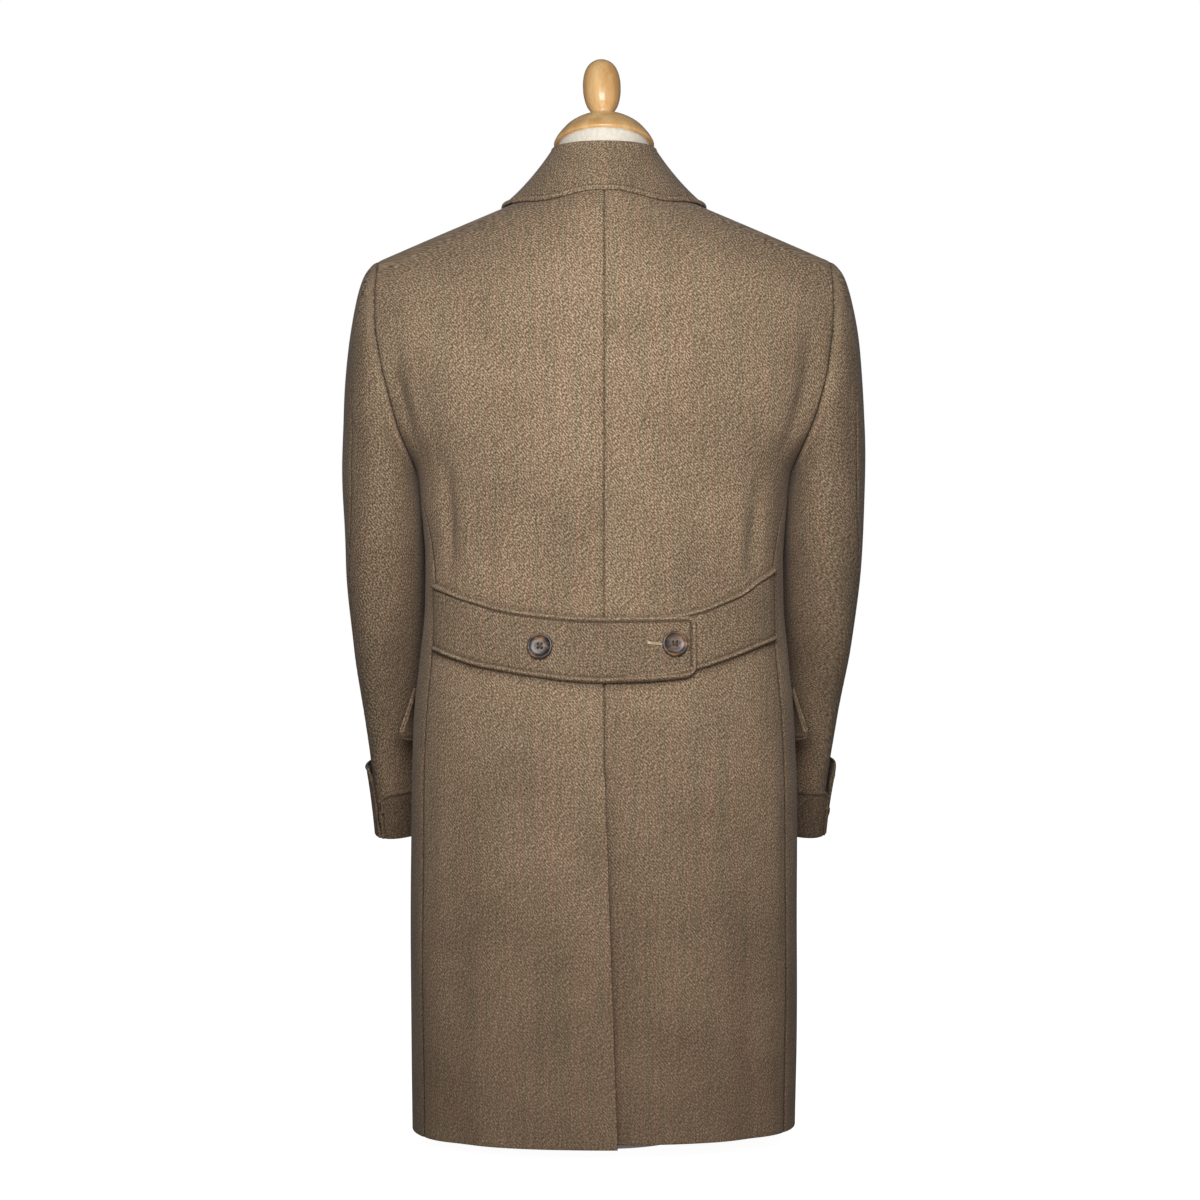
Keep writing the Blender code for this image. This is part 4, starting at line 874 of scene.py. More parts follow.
# One front with its side body: the body's face from the side seam or armhole to past the centre front
def frontPanel(side):
    share = endSpaced(panel["frontColumns"], 0.7)[None, :]
    lower, shares = panelRows(side)
    seam = besideSeam(lower, 1)
    end = math.pi + coat["frontLap"] / (levelAt(outline, lower)["halfWidth"] * panel["wider"])
    lowAngle = seam[:, None] + share * (end - seam)[:, None]
    neckSide = ridgeHeight(coat["neckX"])
    edgeHeight = coat["underarm"] + shares * (ridgeHeight(coat["tipX"]) - coat["underarm"])
    rollX = -coat["frontLap"] + shares * (coat["neckX"] + coat["frontLap"])
    last = math.pi - angleAt(rollX, coat["underarm"] + shares * (neckSide - coat["underarm"]))
    for _ in range(panel["rounds"]):
        first = math.pi - angleAt(levelAt(armhole, edgeHeight)["frontX"], edgeHeight)
        highAngle = first[:, None] + share * (last - first)[:, None]
        high = upperGrid(shares, highAngle, lambda x: ridgeHeight(np.maximum(x, coat["neckX"])))
        edgeHeight = high[:, 0]
    angle, height, points = panelGrid(side, lower, lowAngle, high, highAngle, 1)
    u, v = gridLengths(points)
    out = seamDips(u, v[-1:] - v, height) + pucker(u, v + 0.1)
    if side > 0:  # under the left front
        below = ease((panel["frontStepTop"] - height) / panel["frontStepFade"])
        under = ease((panel["frontStepX"] - points[..., 0]) / panel["frontStepOver"])
        out -= coat["frontStep"] * under * below
    # painted shade in the side seam and armhole, and in the creases' hollows
    sideShade = np.where(height > coat["underarm"], panel["armholeShade"], panel["sideShade"])
    wear = seamWear(u, panel["seamShade"], sideShade) + hollowShade(angle, height)
    return panelShell("front", side, points, out, wear, (1, 1, 0.1, 0.1), 1.0)


sleeve = {
    "hindSeam": 45.0, "foreSeam": 245.0, "swingForward": 0.012, "swingIn": 0.007, "swingFrom": 0.45,
    "swingOver": 0.5, "rows": 150, "topColumns": 52, "underColumns": 60,
    "lengths": ("head", "upper", "elbow", "fore", "wrist"), "tuck": 0.0006, "drawnOver": 0.34,
    "radius": 0.060, "ripple": 0.0004, "rippleFade": 0.15, "roping": 0.0012, "ropeAt": 0.006,
    "headDip": 0.0008, "headWidth": 0.0022, "seamDip": 0.0013, "seamWidth": 0.0018, "shade": 0.20,
    "headShade": 0.70, "headShadeWidth": 0.0012, "seamShade": 0.45, "ropeLight": 0.16,
    "ropeLightAt": 0.008,
}
sleeveRings = columns("along outerX outerZ innerX innerZ centre halfDepth turn pitch", [
    (0.00, 0.2365, 0.9170, 0.1950, 0.6920, 0.006, 0.070, 0.0, 0.0),
    (0.04, 0.2500, 0.9050, 0.1946, 0.6900, 0.006, 0.072, 0.0, 0.0),
    (0.10, 0.2605, 0.8740, 0.1938, 0.6860, 0.006, 0.074, 0.0, 0.0),
    (0.18, 0.2685, 0.8260, 0.1921, 0.6770, 0.007, 0.076, 0.0, 0.0),
    (0.28, 0.2735, 0.7620, 0.1909, 0.6620, 0.009, 0.078, 0.0, 0.0),
    (0.40, 0.2755, 0.6900, 0.1893, 0.6340, 0.013, 0.077, 0.0, 0.0),
    (0.55, 0.2715, 0.6000, 0.1885, 0.5780, 0.024, 0.073, 8.0, 5.0),
    (0.68, 0.2610, 0.5200, 0.1898, 0.5110, 0.046, 0.068, 16.0, 10.0),
    (0.80, 0.2475, 0.4470, 0.1845, 0.4430, 0.077, 0.064, 24.0, 13.0),
    (0.90, 0.2370, 0.3860, 0.1800, 0.3840, 0.094, 0.060, 30.0, 15.0),
    (1.00, 0.2315, 0.3220, 0.1780, 0.3220, 0.106, 0.057, 32.0, 15.0),
])
# Creases of the sleeves: a middle turn and share, a slant in degrees over the length, width in degrees, rise
sleeveCreases = columns("side turn along length slant width rise", [
    (1, 300, 0.66, 0.20, 60, 12, -0.0022), (1, 285, 0.58, 0.16, 50, 10, -0.0018),
    (1, 60, 0.30, 0.30, -20, 14, -0.0014), (1, 20, 0.48, 0.34, 26, 15, -0.0012),
    (1, 95, 0.62, 0.22, -40, 12, -0.0016), (1, 330, 0.20, 0.26, 18, 13, -0.0012),
    (-1, 298, 0.64, 0.18, 55, 11, -0.0022), (-1, 282, 0.72, 0.16, 48, 10, -0.0018),
    (-1, 64, 0.33, 0.28, -18, 14, -0.0012), (-1, 16, 0.52, 0.36, 24, 16, -0.0013),
    (-1, 100, 0.60, 0.20, -44, 12, -0.0017), (-1, 334, 0.24, 0.24, 20, 13, -0.0012),
])


# The armhole's loop: 0 at the shoulder tip, a quarter turn at the back, half a turn at the underarm
def armholePoint(turn, side):
    tip = ridgeHeight(coat["tipX"])
    height = (tip + coat["underarm"]) / 2 + (tip - coat["underarm"]) / 2 * np.cos(turn)
    back = np.sin(turn) >= 0
    row = levelAt(armhole, height)
    angle = angleAt(np.where(back, row["backX"], row["frontX"]), height)
    return onSide(bodyPoint(np.where(back, angle, math.pi - angle) * side, height), side)


# A slanted oval ring at a share of the way down the sleeve, turned and pitched as the arm hangs
def sleeveRing(turn, along, side):
    swing = ease((np.asarray(along) - sleeve["swingFrom"]) / sleeve["swingOver"]) * (side > 0)
    row = levelAt(sleeveRings, along)
    reachX = np.cos(turn) * (row["outerX"] - row["innerX"]) / 2
    reachZ = np.cos(turn) * (row["outerZ"] - row["innerZ"]) / 2
    reachY = np.sin(turn) * row["halfDepth"]
    twist, pitch = np.radians(row["turn"]), np.radians(row["pitch"])
    x = (row["outerX"] + row["innerX"]) / 2 + reachX * np.cos(twist) + reachY * np.sin(twist)
    forward = reachX * np.sin(twist) - reachY * np.cos(twist)
    z = (row["outerZ"] + row["innerZ"]) / 2 + reachZ + forward * np.tan(pitch)
    y = row["centre"] + sleeve["swingForward"] * swing + forward
    return np.stack(np.broadcast_arrays(x - sleeve["swingIn"] * swing, y, z), axis=-1)


# The middle of the sleeve, level with a point on it
def sleeveMiddle(turn, along, side):
    return (sleeveRing(turn, along, side) + sleeveRing(turn + math.pi, along, side)) / 2


# The ring, drawn over to the armhole's loop near its top, where it is tucked under the panel
def sleevePoint(turn, along, side):
    start = armholePoint(turn, side) - np.array([sleeve["tuck"], 0.0, 0.0])
    fade = 1 - ease(np.asarray(along) / sleeve["drawnOver"])
    return sleeveRing(turn, along, side) + (start - sleeveRing(turn, 0.0, side)) * fade[..., None]


# Lift of the sleeve's cloth: bells across slanted lines, each swelling and fading along its length
def sleeveRise(turn, along, side):
    total = np.zeros(turn.shape)
    for ofSide, middle, at, length, slant, width, rise in zip(*sleeveCreases.values()):
        step = (along - at) / length
        off = (np.degrees(turn) - middle - slant * step + 180) % 360 - 180
        total += (ofSide == side) * rise * bell(off, width) * np.cos(math.pi * np.clip(step, -0.5, 0.5)) ** 2
    ripple = np.sin(3 * turn + 14 * along + side) * np.sin(2 * turn - 21 * along + 0.7)
    return total + sleeve["ripple"] * ripple * ease(along / sleeve["rippleFade"])


# Top and under sleeve: the sleeve's face between its two seams, roped at the armhole and sunk at the seams
def sleevePieces(side):
    label, gap = sideName(side), math.degrees(coat["seamGap"] / 2 / sleeve["radius"])
    spans = {
        "under_sleeve": (sleeve["hindSeam"] + gap, sleeve["foreSeam"] - gap, sleeve["underColumns"]),
        "top_sleeve": (sleeve["foreSeam"] - 360 + gap, sleeve["hindSeam"] - gap, sleeve["topColumns"]),
    }
    made = []
    for name, (first, last, count) in spans.items():
        t = np.linspace(0.0, 1.0, sleeve["rows"])
        turn, along = np.meshgrid(np.radians(first + (last - first) * endSpaced(count, 0.8)), t ** 1.15)
        points, middle = sleevePoint(turn, along, side), sleeveMiddle(turn, along, side)
        normal = gridNormals(points, middle)
        u, v = gridLengths(points)
        toSeam = np.minimum(u, u[:, -1:] - u)
        seamShows = ease((v - 0.06) / 0.12)  # the seams fade out near the armhole
        out = sleeveRise(turn, along, side) + sleeve["roping"] * bell(v - sleeve["ropeAt"], sleeve["ropeAt"])
        out -= sleeve["headDip"] * bell(v, sleeve["headWidth"])
        out -= sleeve["seamDip"] * bell(toSeam, sleeve["seamWidth"]) * seamShows
        out += pucker(toSeam, v, 0.00016) + pucker(v, u, 0.00030) * ease(v / 0.003)
        # painted shade along the armhole seam and the other seams, the whole sleeve painted darker as shade, and a
        # painted highlight on the roped head
        wear = seamWear(v, sleeve["headShade"], sleeve["headShadeWidth"]) - sleeve["shade"]
        wear += seamWear(toSeam, sleeve["seamShade"]) * seamShows
        wear += sleeve["ropeLight"] * bell(v - sleeve["ropeLightAt"], sleeve["ropeAt"])
        outer = onSide(points + normal * out[..., None], side)
        piece = clothShell(f"{label}_{name}", outer, onSide(middle, side), cloth, wear,
                           bulge=(0.1, 0.1, 1, 0.1), hung=True)
        made.append(settle(piece, "covert_cloth", *lengthNodes(f"{name}_{label}", sleeve["lengths"])))
    return made


cuff = {
    "split": 15.0, "splitLeft": 88.0, "splitRight": 68.0, "closes": 0.88, "corner": 0.015,
    "cornerCut": 0.8, "lay": 0.0016, "sleeveLength": 0.62, "radius": 0.045, "columns": 190, "rows": 26,
    "stitch": 0.0055, "swell": 0.0009,
}
cuffDepth = columns("angle depth flare", [
    (0.0, 0.0760, 0.0034), (50.0, 0.0700, 0.0022), (150.0, 0.0580, 0.0016), (250.0, 0.0530, 0.0016),
    (330.0, 0.0510, 0.0022), (360.0, 0.0500, 0.0030),
])


# Turned-back cuff: the sleeve's face near its mouth, moved out and flared, its upper corners rounded off
def turnedCuff(side):
    label, share = sideName(side), endSpaced(cuff["columns"], 0.86)
    turned = share * (360 - cuff["split"])
    fromEnd = np.radians(np.minimum(turned, turned[-1] - turned)) * cuff["radius"]
    level = levelAt(cuffDepth, turned)
    depth = level["depth"] - cuff["cornerCut"] * roundedOff(fromEnd, cuff["corner"])
    rows = endSpaced(cuff["rows"], 0.6)[:, None]
    split = cuff["split"] * (1 - cuff["closes"] * rows)  # closes toward the mouth
    middleTurn = cuff["splitLeft" if side < 0 else "splitRight"]
    turn = np.radians(middleTurn - split / 2 - share[None, :] * (360 - split))
    along = 1 - (1 - rows) * depth[None, :] / cuff["sleeveLength"]
    middle = sleeveMiddle(turn, along, side)
    even = sleevePoint(turn, along * 0.25 + 0.74, side)  # a shorter stretch of sleeve, for steadier normals
    normal = gridNormals(even, middle)
    flare = level["flare"][None, :] * (1 - rows) ** 1.5
    inside = np.minimum(rows * depth[None, :], fromEnd[None, :] + 0.004 * (1 - rows))
    out = cuff["lay"] + coat["cloth"] + flare + swell(inside, cuff["stitch"], cuff["swell"], cuff["swell"])
    outer, deep = onSide(sleevePoint(turn, along, side) + normal * out[..., None], side), onSide(middle, side)
    # painted highlight on the cuff's swelled edge and painted shade in its stitch groove
    piece = clothShell(f"{label}_cuff", outer, deep, cuffCloth, edgeWear(inside, cuff["stitch"]), hung=True)
    rowAt = np.interp(cuff["stitch"] / depth, rows[:, 0], np.arange(cuff["rows"]))
    kept = np.flatnonzero(fromEnd > cuff["stitch"])
    stitches = stitchRow(f"{label}_cuff_stitches", outer, gridNormals(outer, deep), rowAt[kept], kept)
    return [settle(piece, "covert_cloth", f"cuff_{label}"), stitches]


belt = {
    "lay": 0.0014, "endRound": 0.011, "upperRound": 0.7, "stitch": 0.0060, "swell": 0.0029,
    "groove": 0.0013, "thick": 0.0024, "columns": 200, "rows": 44, "climb": 0.016, "ripple": 0.0004,
    "caughtDip": 0.0012, "endStitches": 38, "buttons": ((-0.0640, 0.5145), (0.0700, 0.5165)),
    "buttonLay": 0.0010,
}


# Height of the belt's inside over the coat's face: a step up where the left part climbs over the right
def beltLow(x):
    return belt["lay"] + (coat["cloth"] + coat["layGap"]) * ease(x / belt["climb"])


# Half belt: a band between two edge lines laid on the back, its long edges swelled, its free end rounded off
def beltPart(side):
    label, table = sideName(side), beltLeft if side < 0 else beltRight
    first, last = table["x"][0], table["x"][-1]
    xs = first + (last - first) * endSpaced(belt["columns"], 0.85)
    edges = levelAt(table, xs)
    top, bottom = edges["top"], edges["bottom"]
    if side < 0:
        cut = roundedOff(last - xs, belt["endRound"])
        top, bottom = top - cut * belt["upperRound"], bottom + cut
    rows = endSpaced(belt["rows"], 0.75)[:, None]
    reach = top - bottom
    height = bottom[None, :] + rows * reach[None, :]
    x = np.repeat(xs[None, :], belt["rows"], axis=0)
    inside = np.minimum(height - bottom[None, :], top[None, :] - height)
    if side < 0:
        inside = np.minimum(inside, last - x + 0.0006)
    inside = np.maximum(inside, 0.0)
    low = beltLow(x) if side < 0 else np.full(x.shape, belt["lay"])
    out = low + coat["cloth"] + swell(inside, belt["stitch"], belt["swell"], belt["groove"])
    out += belt["ripple"] * np.sin(x * 61.0 + 0.6) * np.sin(height * 47.0)
    caught = (x - first) if side < 0 else (last - x)
    out -= belt["caughtDip"] * bell(caught, 0.004)
    outer = onBody(angleAt(x, height), height, out)
    # painted highlight on the belt's swelled edges, painted shade in their stitch grooves and where it is caught in
    # the seam
    wear = edgeWear(inside, belt["stitch"], 0.30, 0.50) + seamWear(caught)
    piece = clothShell(f"{label}_half_belt", outer, deepInside, beltCloth, wear, belt["thick"])
    normal = gridNormals(outer, deepInside)
    stop = last - belt["stitch"] if side < 0 else last
    kept = np.flatnonzero((xs <= stop) & (reach > 3 * belt["stitch"]))
    rowOf = lambda off: np.interp(off / reach, rows[:, 0], np.arange(belt["rows"]))[kept]
    upper, under = rowOf(reach - belt["stitch"]), rowOf(belt["stitch"])
    made = [settle(piece, "covert_cloth", f"belt_{label}")]
    if side > 0:
        for k, rowAt in enumerate((upper, under)):
            made.append(stitchRow(f"right_half_belt_stitches_{k}", outer, normal, rowAt, kept))
        return made
    endColumn = np.full(belt["endStitches"], np.interp(stop, xs, np.arange(belt["columns"])))
    steps = np.linspace(upper[-1], under[-1], belt["endStitches"] + 2)[1:-1]
    rowAt = np.concatenate([upper, steps, under[::-1]])
    columnAt = np.concatenate([kept, endColumn, kept[::-1]])
    return made + [stitchRow("left_half_belt_stitches", outer, normal, rowAt, columnAt)]


flap = {
    "rear": 92.0, "front": 143.0, "top": 0.4690, "depth": 0.054, "width": 0.165, "slant": 0.010,
    "flare": 0.0115, "stand": 0.0012, "rearShare": 0.26, "corner": 0.016, "cornerCut": 0.8, "lay": 0.0010,
    "columns": 90, "rows": 34, "stitch": 0.0055, "swell": 0.0012, "groove": 0.0010,
}


# Pocket flap: a band laid on the hip below its sewn edge, its lower corners rounded, the rear one raised
def pocketFlap(side):
    label, across = sideName(side), endSpaced(flap["columns"], 0.85)
    rows = endSpaced(flap["rows"], 0.7)[:, None]
    angle = np.radians(flap["rear"] + across * (flap["front"] - flap["rear"]))[None, :] * np.ones(rows.shape)
    fromEnd = np.minimum(across, 1 - across) * flap["width"]
    depth = flap["depth"] - flap["cornerCut"] * roundedOff(fromEnd, flap["corner"])
    height = (flap["top"] - flap["slant"] * across)[None, :] - rows * depth[None, :]
    stand = flap["stand"] + (flap["flare"] - flap["stand"]) * (1 - ease(across / flap["rearShare"]))
    inside = np.minimum((1 - rows) * depth[None, :], fromEnd[None, :] + 0.0006)
    out = flap["lay"] + coat["cloth"] + rows ** 1.2 * stand[None, :]
    out = out + swell(inside, flap["stitch"], flap["swell"], flap["groove"])
    outer = onBody(angle * side, height, out)
    # painted highlight on the flap's swelled edge and painted shade in its stitch groove
    piece = clothShell(f"{label}_pocket_flap", outer, deepInside, cloth, edgeWear(inside, flap["stitch"]),
                       bulge=(0.4, 1, 1, 1), hung=True)
    rowAt = np.interp(1 - flap["stitch"] / depth, rows[:, 0], np.arange(flap["rows"]))
    kept = np.flatnonzero(fromEnd > flap["stitch"])
    stitches = stitchRow(f"{label}_flap_stitches", outer, gridNormals(outer, deepInside), rowAt[kept], kept)
    return [settle(piece, "covert_cloth", f"pocket_flap_{label}"), stitches]


collar = {
    "end": 135.0, "cloth": 0.0018, "fold": 0.0034, "clear": 0.0014, "columns": 216, "standRows": 13,
    "fallRows": 44, "stitch": 0.0060, "swell": 0.0014, "groove": 0.0012, "firstGuess": 0.96,
}
collarLine = columns("angle footRadius footHeight foldRadius foldHeight edgeRadius sag", [
    (0.0, 0.0690, 1.0090, 0.0660, 1.0350, 0.1045, 0.0030),
    (29.0, 0.0615, 1.0060, 0.0600, 1.0355, 0.0985, 0.0005),
    (58.0, 0.0582, 1.0007, 0.0552, 1.0355, 0.0972, -0.0045),
    (74.0, 0.0617, 0.9972, 0.0532, 1.0355, 0.1010, -0.0070),
    (90.0, 0.0655, 0.9945, 0.0525, 1.0350, 0.1075, -0.0080),
    (112.0, 0.0690, 0.9890, 0.0590, 1.0150, 0.1130, -0.0050),
    (124.0, 0.0735, 0.9800, 0.0675, 0.9960, 0.1150, -0.0020),
    (135.0, 0.0820, 0.9670, 0.0810, 0.9770, 0.1190, 0.0000),
])


# Height of the shoulders over a point in plan: the roof's quarter circle turned round, in a few rounds
def roofHeight(x, y):
    height = np.full(np.shape(x), collar["firstGuess"])
    rounding = np.where(y < 0, coat["backRounding"], coat["frontRounding"])
    for _ in range(coat["rounds"]):
        level = levelAt(outline, height)
        backwards = aroundBody(angleAt(np.abs(x), height), level["square"])[1]
        depth = np.where(y < 0, level["back"], level["front"])
        share = np.clip(np.abs(y) / (depth * backwards), 0.0, 0.999)
        height = ridgeHeight(x) - rounding * (1 - np.sqrt(1 - share ** 2))
    return height


# Height at which the collar's outer face clears the shoulders, more where they are steep
def lyingHeight(radius, sine, cosine):
    step = 0.002
    here = roofHeight(radius * sine, -radius * cosine)
    steep = (here - roofHeight((radius + step) * sine, -(radius + step) * cosine)) / step
    return here + (collar["cloth"] + collar["clear"]) * np.sqrt(1 + steep ** 2)


# Collar: a profile carried round the neck - a straight stand, a small half round at the fold, and a fall
# that is a curve of three points, never lower than the shoulders it lies on
def wornCollar():
    degrees = (2 * endSpaced(collar["columns"], 0.6) - 1) * collar["end"]
    sine, cosine = np.sin(np.radians(degrees)), np.cos(np.radians(degrees))
    row = levelAt(collarLine, np.abs(degrees))
    foot, footZ = row["footRadius"], row["footHeight"]
    fold, foldZ = row["foldRadius"], row["foldHeight"]
    edgeRadius, bend = row["edgeRadius"], collar["fold"]
    t = np.linspace(0.0, 1.0, collar["standRows"] + 1)[:-1, None]
    turn = math.pi * t
    standR, standZ = foot + t * (fold - bend - foot), footZ + t * (foldZ - bend - footZ)
    bendR, bendZ = fold - bend * np.cos(turn), foldZ - bend + bend * np.sin(turn)
    t = endSpaced(collar["fallRows"], 0.6)[:, None]
    startR, startZ = fold + bend, foldZ - bend
    edgeZ = lyingHeight(edgeRadius, sine, cosine)
    middleR, middleZ = (startR + edgeRadius) / 2, (startZ + edgeZ) / 2 + row["sag"]
    fallR = (1 - t) ** 2 * startR + 2 * t * (1 - t) * middleR + t ** 2 * edgeRadius
    fallZ = (1 - t) ** 2 * startZ + 2 * t * (1 - t) * middleZ + t ** 2 * edgeZ
    fallZ = np.maximum(fallZ, lyingHeight(fallR, sine, cosine))
    radius, height = np.concatenate([standR, bendR, fallR]), np.concatenate([standZ, bendZ, fallZ])
    points = np.stack([radius * sine, -radius * cosine, height], axis=-1)
    normal = gridNormals(points, points + np.array([0.0, 0.0, -1.0]))
    if normal[-30:, :, 2].sum() < 0:  # the fall's face looks up
        normal = -normal
    u, v = gridLengths(points)
    toEdge = v[-1:] - v
    folded = 2 * collar["standRows"]  # the fall's first row
    onFall = v > v[folded - 2]
    inside = np.minimum(toEdge, np.minimum(u, u[:, -1:] - u) + 0.0006)
    out = swell(inside, collar["stitch"], collar["swell"], collar["groove"]) * onFall
    outer = points + normal * out[..., None]
    # painted highlight on the collar fall's swelled edge and painted shade in its stitch groove
    wear = edgeWear(inside, collar["stitch"], 0.14, 0.55) * onFall
    piece = clothShell("top_collar", outer, outer - normal, collarCloth, wear, collar["cloth"],
                       bulge=(0.3, 1, 1, 1))
    kept = np.arange(4, len(degrees) - 4)
    fallRows = np.arange(folded, len(points))
    rowAt = np.array([np.interp(-collar["stitch"], -toEdge[folded:, c], fallRows) for c in kept])
    return [settle(piece, "covert_cloth", "collar"), stitchRow("collar_stitches", outer, normal, rowAt, kept)]


lapel = {
    "top": 0.954, "rows": 90, "columns": 40, "stitch": 0.0060, "swell": 0.0011, "groove": 0.0010,
    "lay": 0.0010, "roll": 0.0014, "rollWidth": 0.25, "offRoll": 0.0015, "end": 0.03, "topLength": 0.30,
}
lapelWidth = columns("down width", [
    (0.00, 0.0740), (0.12, 0.0800), (0.35, 0.0700), (0.60, 0.0490), (0.85, 0.0230), (1.00, 0.0060),
])
lapelEdge = columns("across drop", [
    (0.00, 0.000), (0.25, 0.030), (0.50, 0.050), (0.75, 0.062), (1.00, 0.070),
])


# Lapel: a tapering band turned back along the roll line and laid on the front; the right one ends under
# the left front
def turnedLapel(side):
    label, across = sideName(side), endSpaced(lapel["columns"], 0.6)[None, :]
    down = np.linspace(0.0, 1.0, lapel["rows"])[:, None]
    lowest, fade = (0.0, 2.2) if side < 0 else (0.40, 1.1)
    climb = ridgeHeight(coat["neckX"]) - coat["underarm"]
    topShare = (lapel["top"] - coat["underarm"]) / climb
    share = topShare + down * (lowest + lapel["end"] - topShare)
    rollX = -coat["frontLap"] + share * (coat["neckX"] + coat["frontLap"]) + lapel["offRoll"]
    width, drop = levelAt(lapelWidth, down)["width"], levelAt(lapelEdge, across)["drop"]
    height = coat["underarm"] + share * climb - drop * (1 - down) ** fade
    inside = np.minimum((1 - across) * width, down * lapel["topLength"])
    out = lapel["lay"] + lapel["roll"] * bell(across, lapel["rollWidth"]) + coat["cloth"]
    out = out + swell(inside, lapel["stitch"], lapel["swell"], lapel["groove"])
    outer = onBody((math.pi - angleAt(rollX + across * width, height)) * side, height, out)
    # painted highlight on the lapel's swelled edge and painted shade in its stitch groove
    wear = edgeWear(inside, lapel["stitch"])
    piece = clothShell(f"{label}_lapel", outer, deepInside, cloth, wear, hung=True)
    columnAt = np.interp(1 - lapel["stitch"] / width[:, 0], across[0], np.arange(lapel["columns"]))
    kept = np.flatnonzero(width[:, 0] > 2.5 * lapel["stitch"])
    normal = gridNormals(outer, deepInside)
    stitches = stitchRow(f"{label}_lapel_stitches", outer, normal, kept, columnAt[kept])
    return [settle(piece, "covert_cloth", f"lapel_{label}"), stitches]


sides = {"left": -1, "right": 1}
made = {}
for label, side in sides.items():
    made[label] = [backPanel(side), frontPanel(side), *sleevePieces(side)]
    print(label, "panels and sleeves ready")
cuffs, belts, flaps, lapels = (
    {label: make(side) for label, side in sides.items()}
    for make in (turnedCuff, beltPart, pocketFlap, turnedLapel)
)
collarPieces = wornCollar()
print("cuffs, belt, flaps, lapels and collar ready")


# A turned piece: a profile in radius and height carried round an upright axis, closed at both ends
def turnedPoints(profile, steps):
    angle = np.arange(steps) * 2 * math.pi / steps
    radius, height = profile[:, :1], profile[:, 1:]
    points = np.stack([radius * np.cos(angle), radius * np.sin(angle), height * np.ones(steps)], axis=-1)
    return points.reshape(-1, 3), tubeFaces(len(profile), steps)


# A profile's points with smooth ones between them: a cubic of each coordinate over the length along it
def finerProfile(rows, count):
    rows = np.array(rows, float)
    run = pathLengths(rows)
    at = np.linspace(0.0, run[-1], count)
    return np.stack([smoothAt(at, run, rows[:, 0]), smoothAt(at, run, rows[:, 1])], axis=-1)


# Turns points about X, then Y, and moves them up
def tilted(points, aboutX, aboutY, up):
    cx, sx, cy, sy = math.cos(aboutX), math.sin(aboutX), math.cos(aboutY), math.sin(aboutY)
    turnX = np.array([[1, 0, 0], [0, cx, -sx], [0, sx, cx]])
    turnY = np.array([[cy, 0, sy], [0, 1, 0], [-sy, 0, cy]])
    return points @ (turnY @ turnX).T + np.array([0.0, 0.0, up])


form = {
    "capHeight": 1.0366, "capTilt": 14.0, "finialLean": 2.0, "capDeep": 1.10, "steps": 96,
    "profileRings": 60, "drop": 0.0030, "neckDrop": 0.0150, "neckDropFrom": 0.115, "neckDropOver": 0.035,
    "neckWide": 0.0486, "neckDeep": 0.0560, "neckLow": 1.012, "neckLowTilt": 0.4, "neckGap": 0.0004,
    "neckRows": 12, "levelRows": 40, "levelTop": 0.69, "chest": 0.80, "roofRows": 40, "roofLow": 0.72,
    "roofWider": 1.04, "seam": 0.0007, "seamWidth": 0.0011, "seamFrom": 0.99, "seamOver": 0.02,
    "baseRadius": 0.085, "baseHeight": 0.018, "poleRadius": 0.014, "poleSteps": 48, "torsoBottom": 0.270,
    "edge": 0.003,
}
# Shares of the way from the neck out to the chest's oval
roofShares = (1.0, 0.97, 0.90, 0.78, 0.62, 0.45, 0.28, 0.12)
capProfile = (
    (0.0500, 0.0000), (0.0522, 0.0010), (0.0527, 0.0028), (0.0519, 0.0050), (0.0494, 0.0095),
    (0.0470, 0.0127), (0.0407, 0.0202), (0.0320, 0.0266), (0.0214, 0.0320), (0.0125, 0.0350),
)
finialProfile = (
    (0.0112, 0.0358), (0.0108, 0.0380), (0.0128, 0.0416), (0.0163, 0.0474), (0.0186, 0.0550),
    (0.0198, 0.0636), (0.0199, 0.0716), (0.0190, 0.0796), (0.0168, 0.0872), (0.0125, 0.0936),
    (0.0065, 0.0975), (0.0012, 0.0986),
)
torsoLevels = columns("height halfWidth back front", [
    (0.270, 0.1450, 0.1000, 0.1050), (0.285, 0.1560, 0.1080, 0.1130), (0.340, 0.1660, 0.1160, 0.1220),
    (0.420, 0.1660, 0.1160, 0.1240), (0.500, 0.1570, 0.1040, 0.1200), (0.580, 0.1480, 0.0960, 0.1160),
    (0.650, 0.1560, 0.1040, 0.1220), (0.720, 0.1680, 0.1160, 0.1300), (0.800, 0.1760, 0.1240, 0.1320),
    (1.040, 0.1800, 0.1260, 0.1320),
])


# Wooden cap and finial: smooth turned profiles, the cap a little deeper than wide, both tilted with the neck
def woodenTop():
    tilt, lean = -math.radians(form["capTilt"]), -math.radians(form["finialLean"])
    for name, profile, deep, aside in (("neck_cap", capProfile, form["capDeep"], 0.0),
                                       ("finial", finialProfile, 1.0, lean)):
        points, faces = turnedPoints(finerProfile(profile, form["profileRings"]), form["steps"])
        points = tilted(points * np.array([1.0, deep, 1.0]), tilt, aside, form["capHeight"])
        settle(putMesh(name, points, faces, beech), "beech", f"form_{name}")


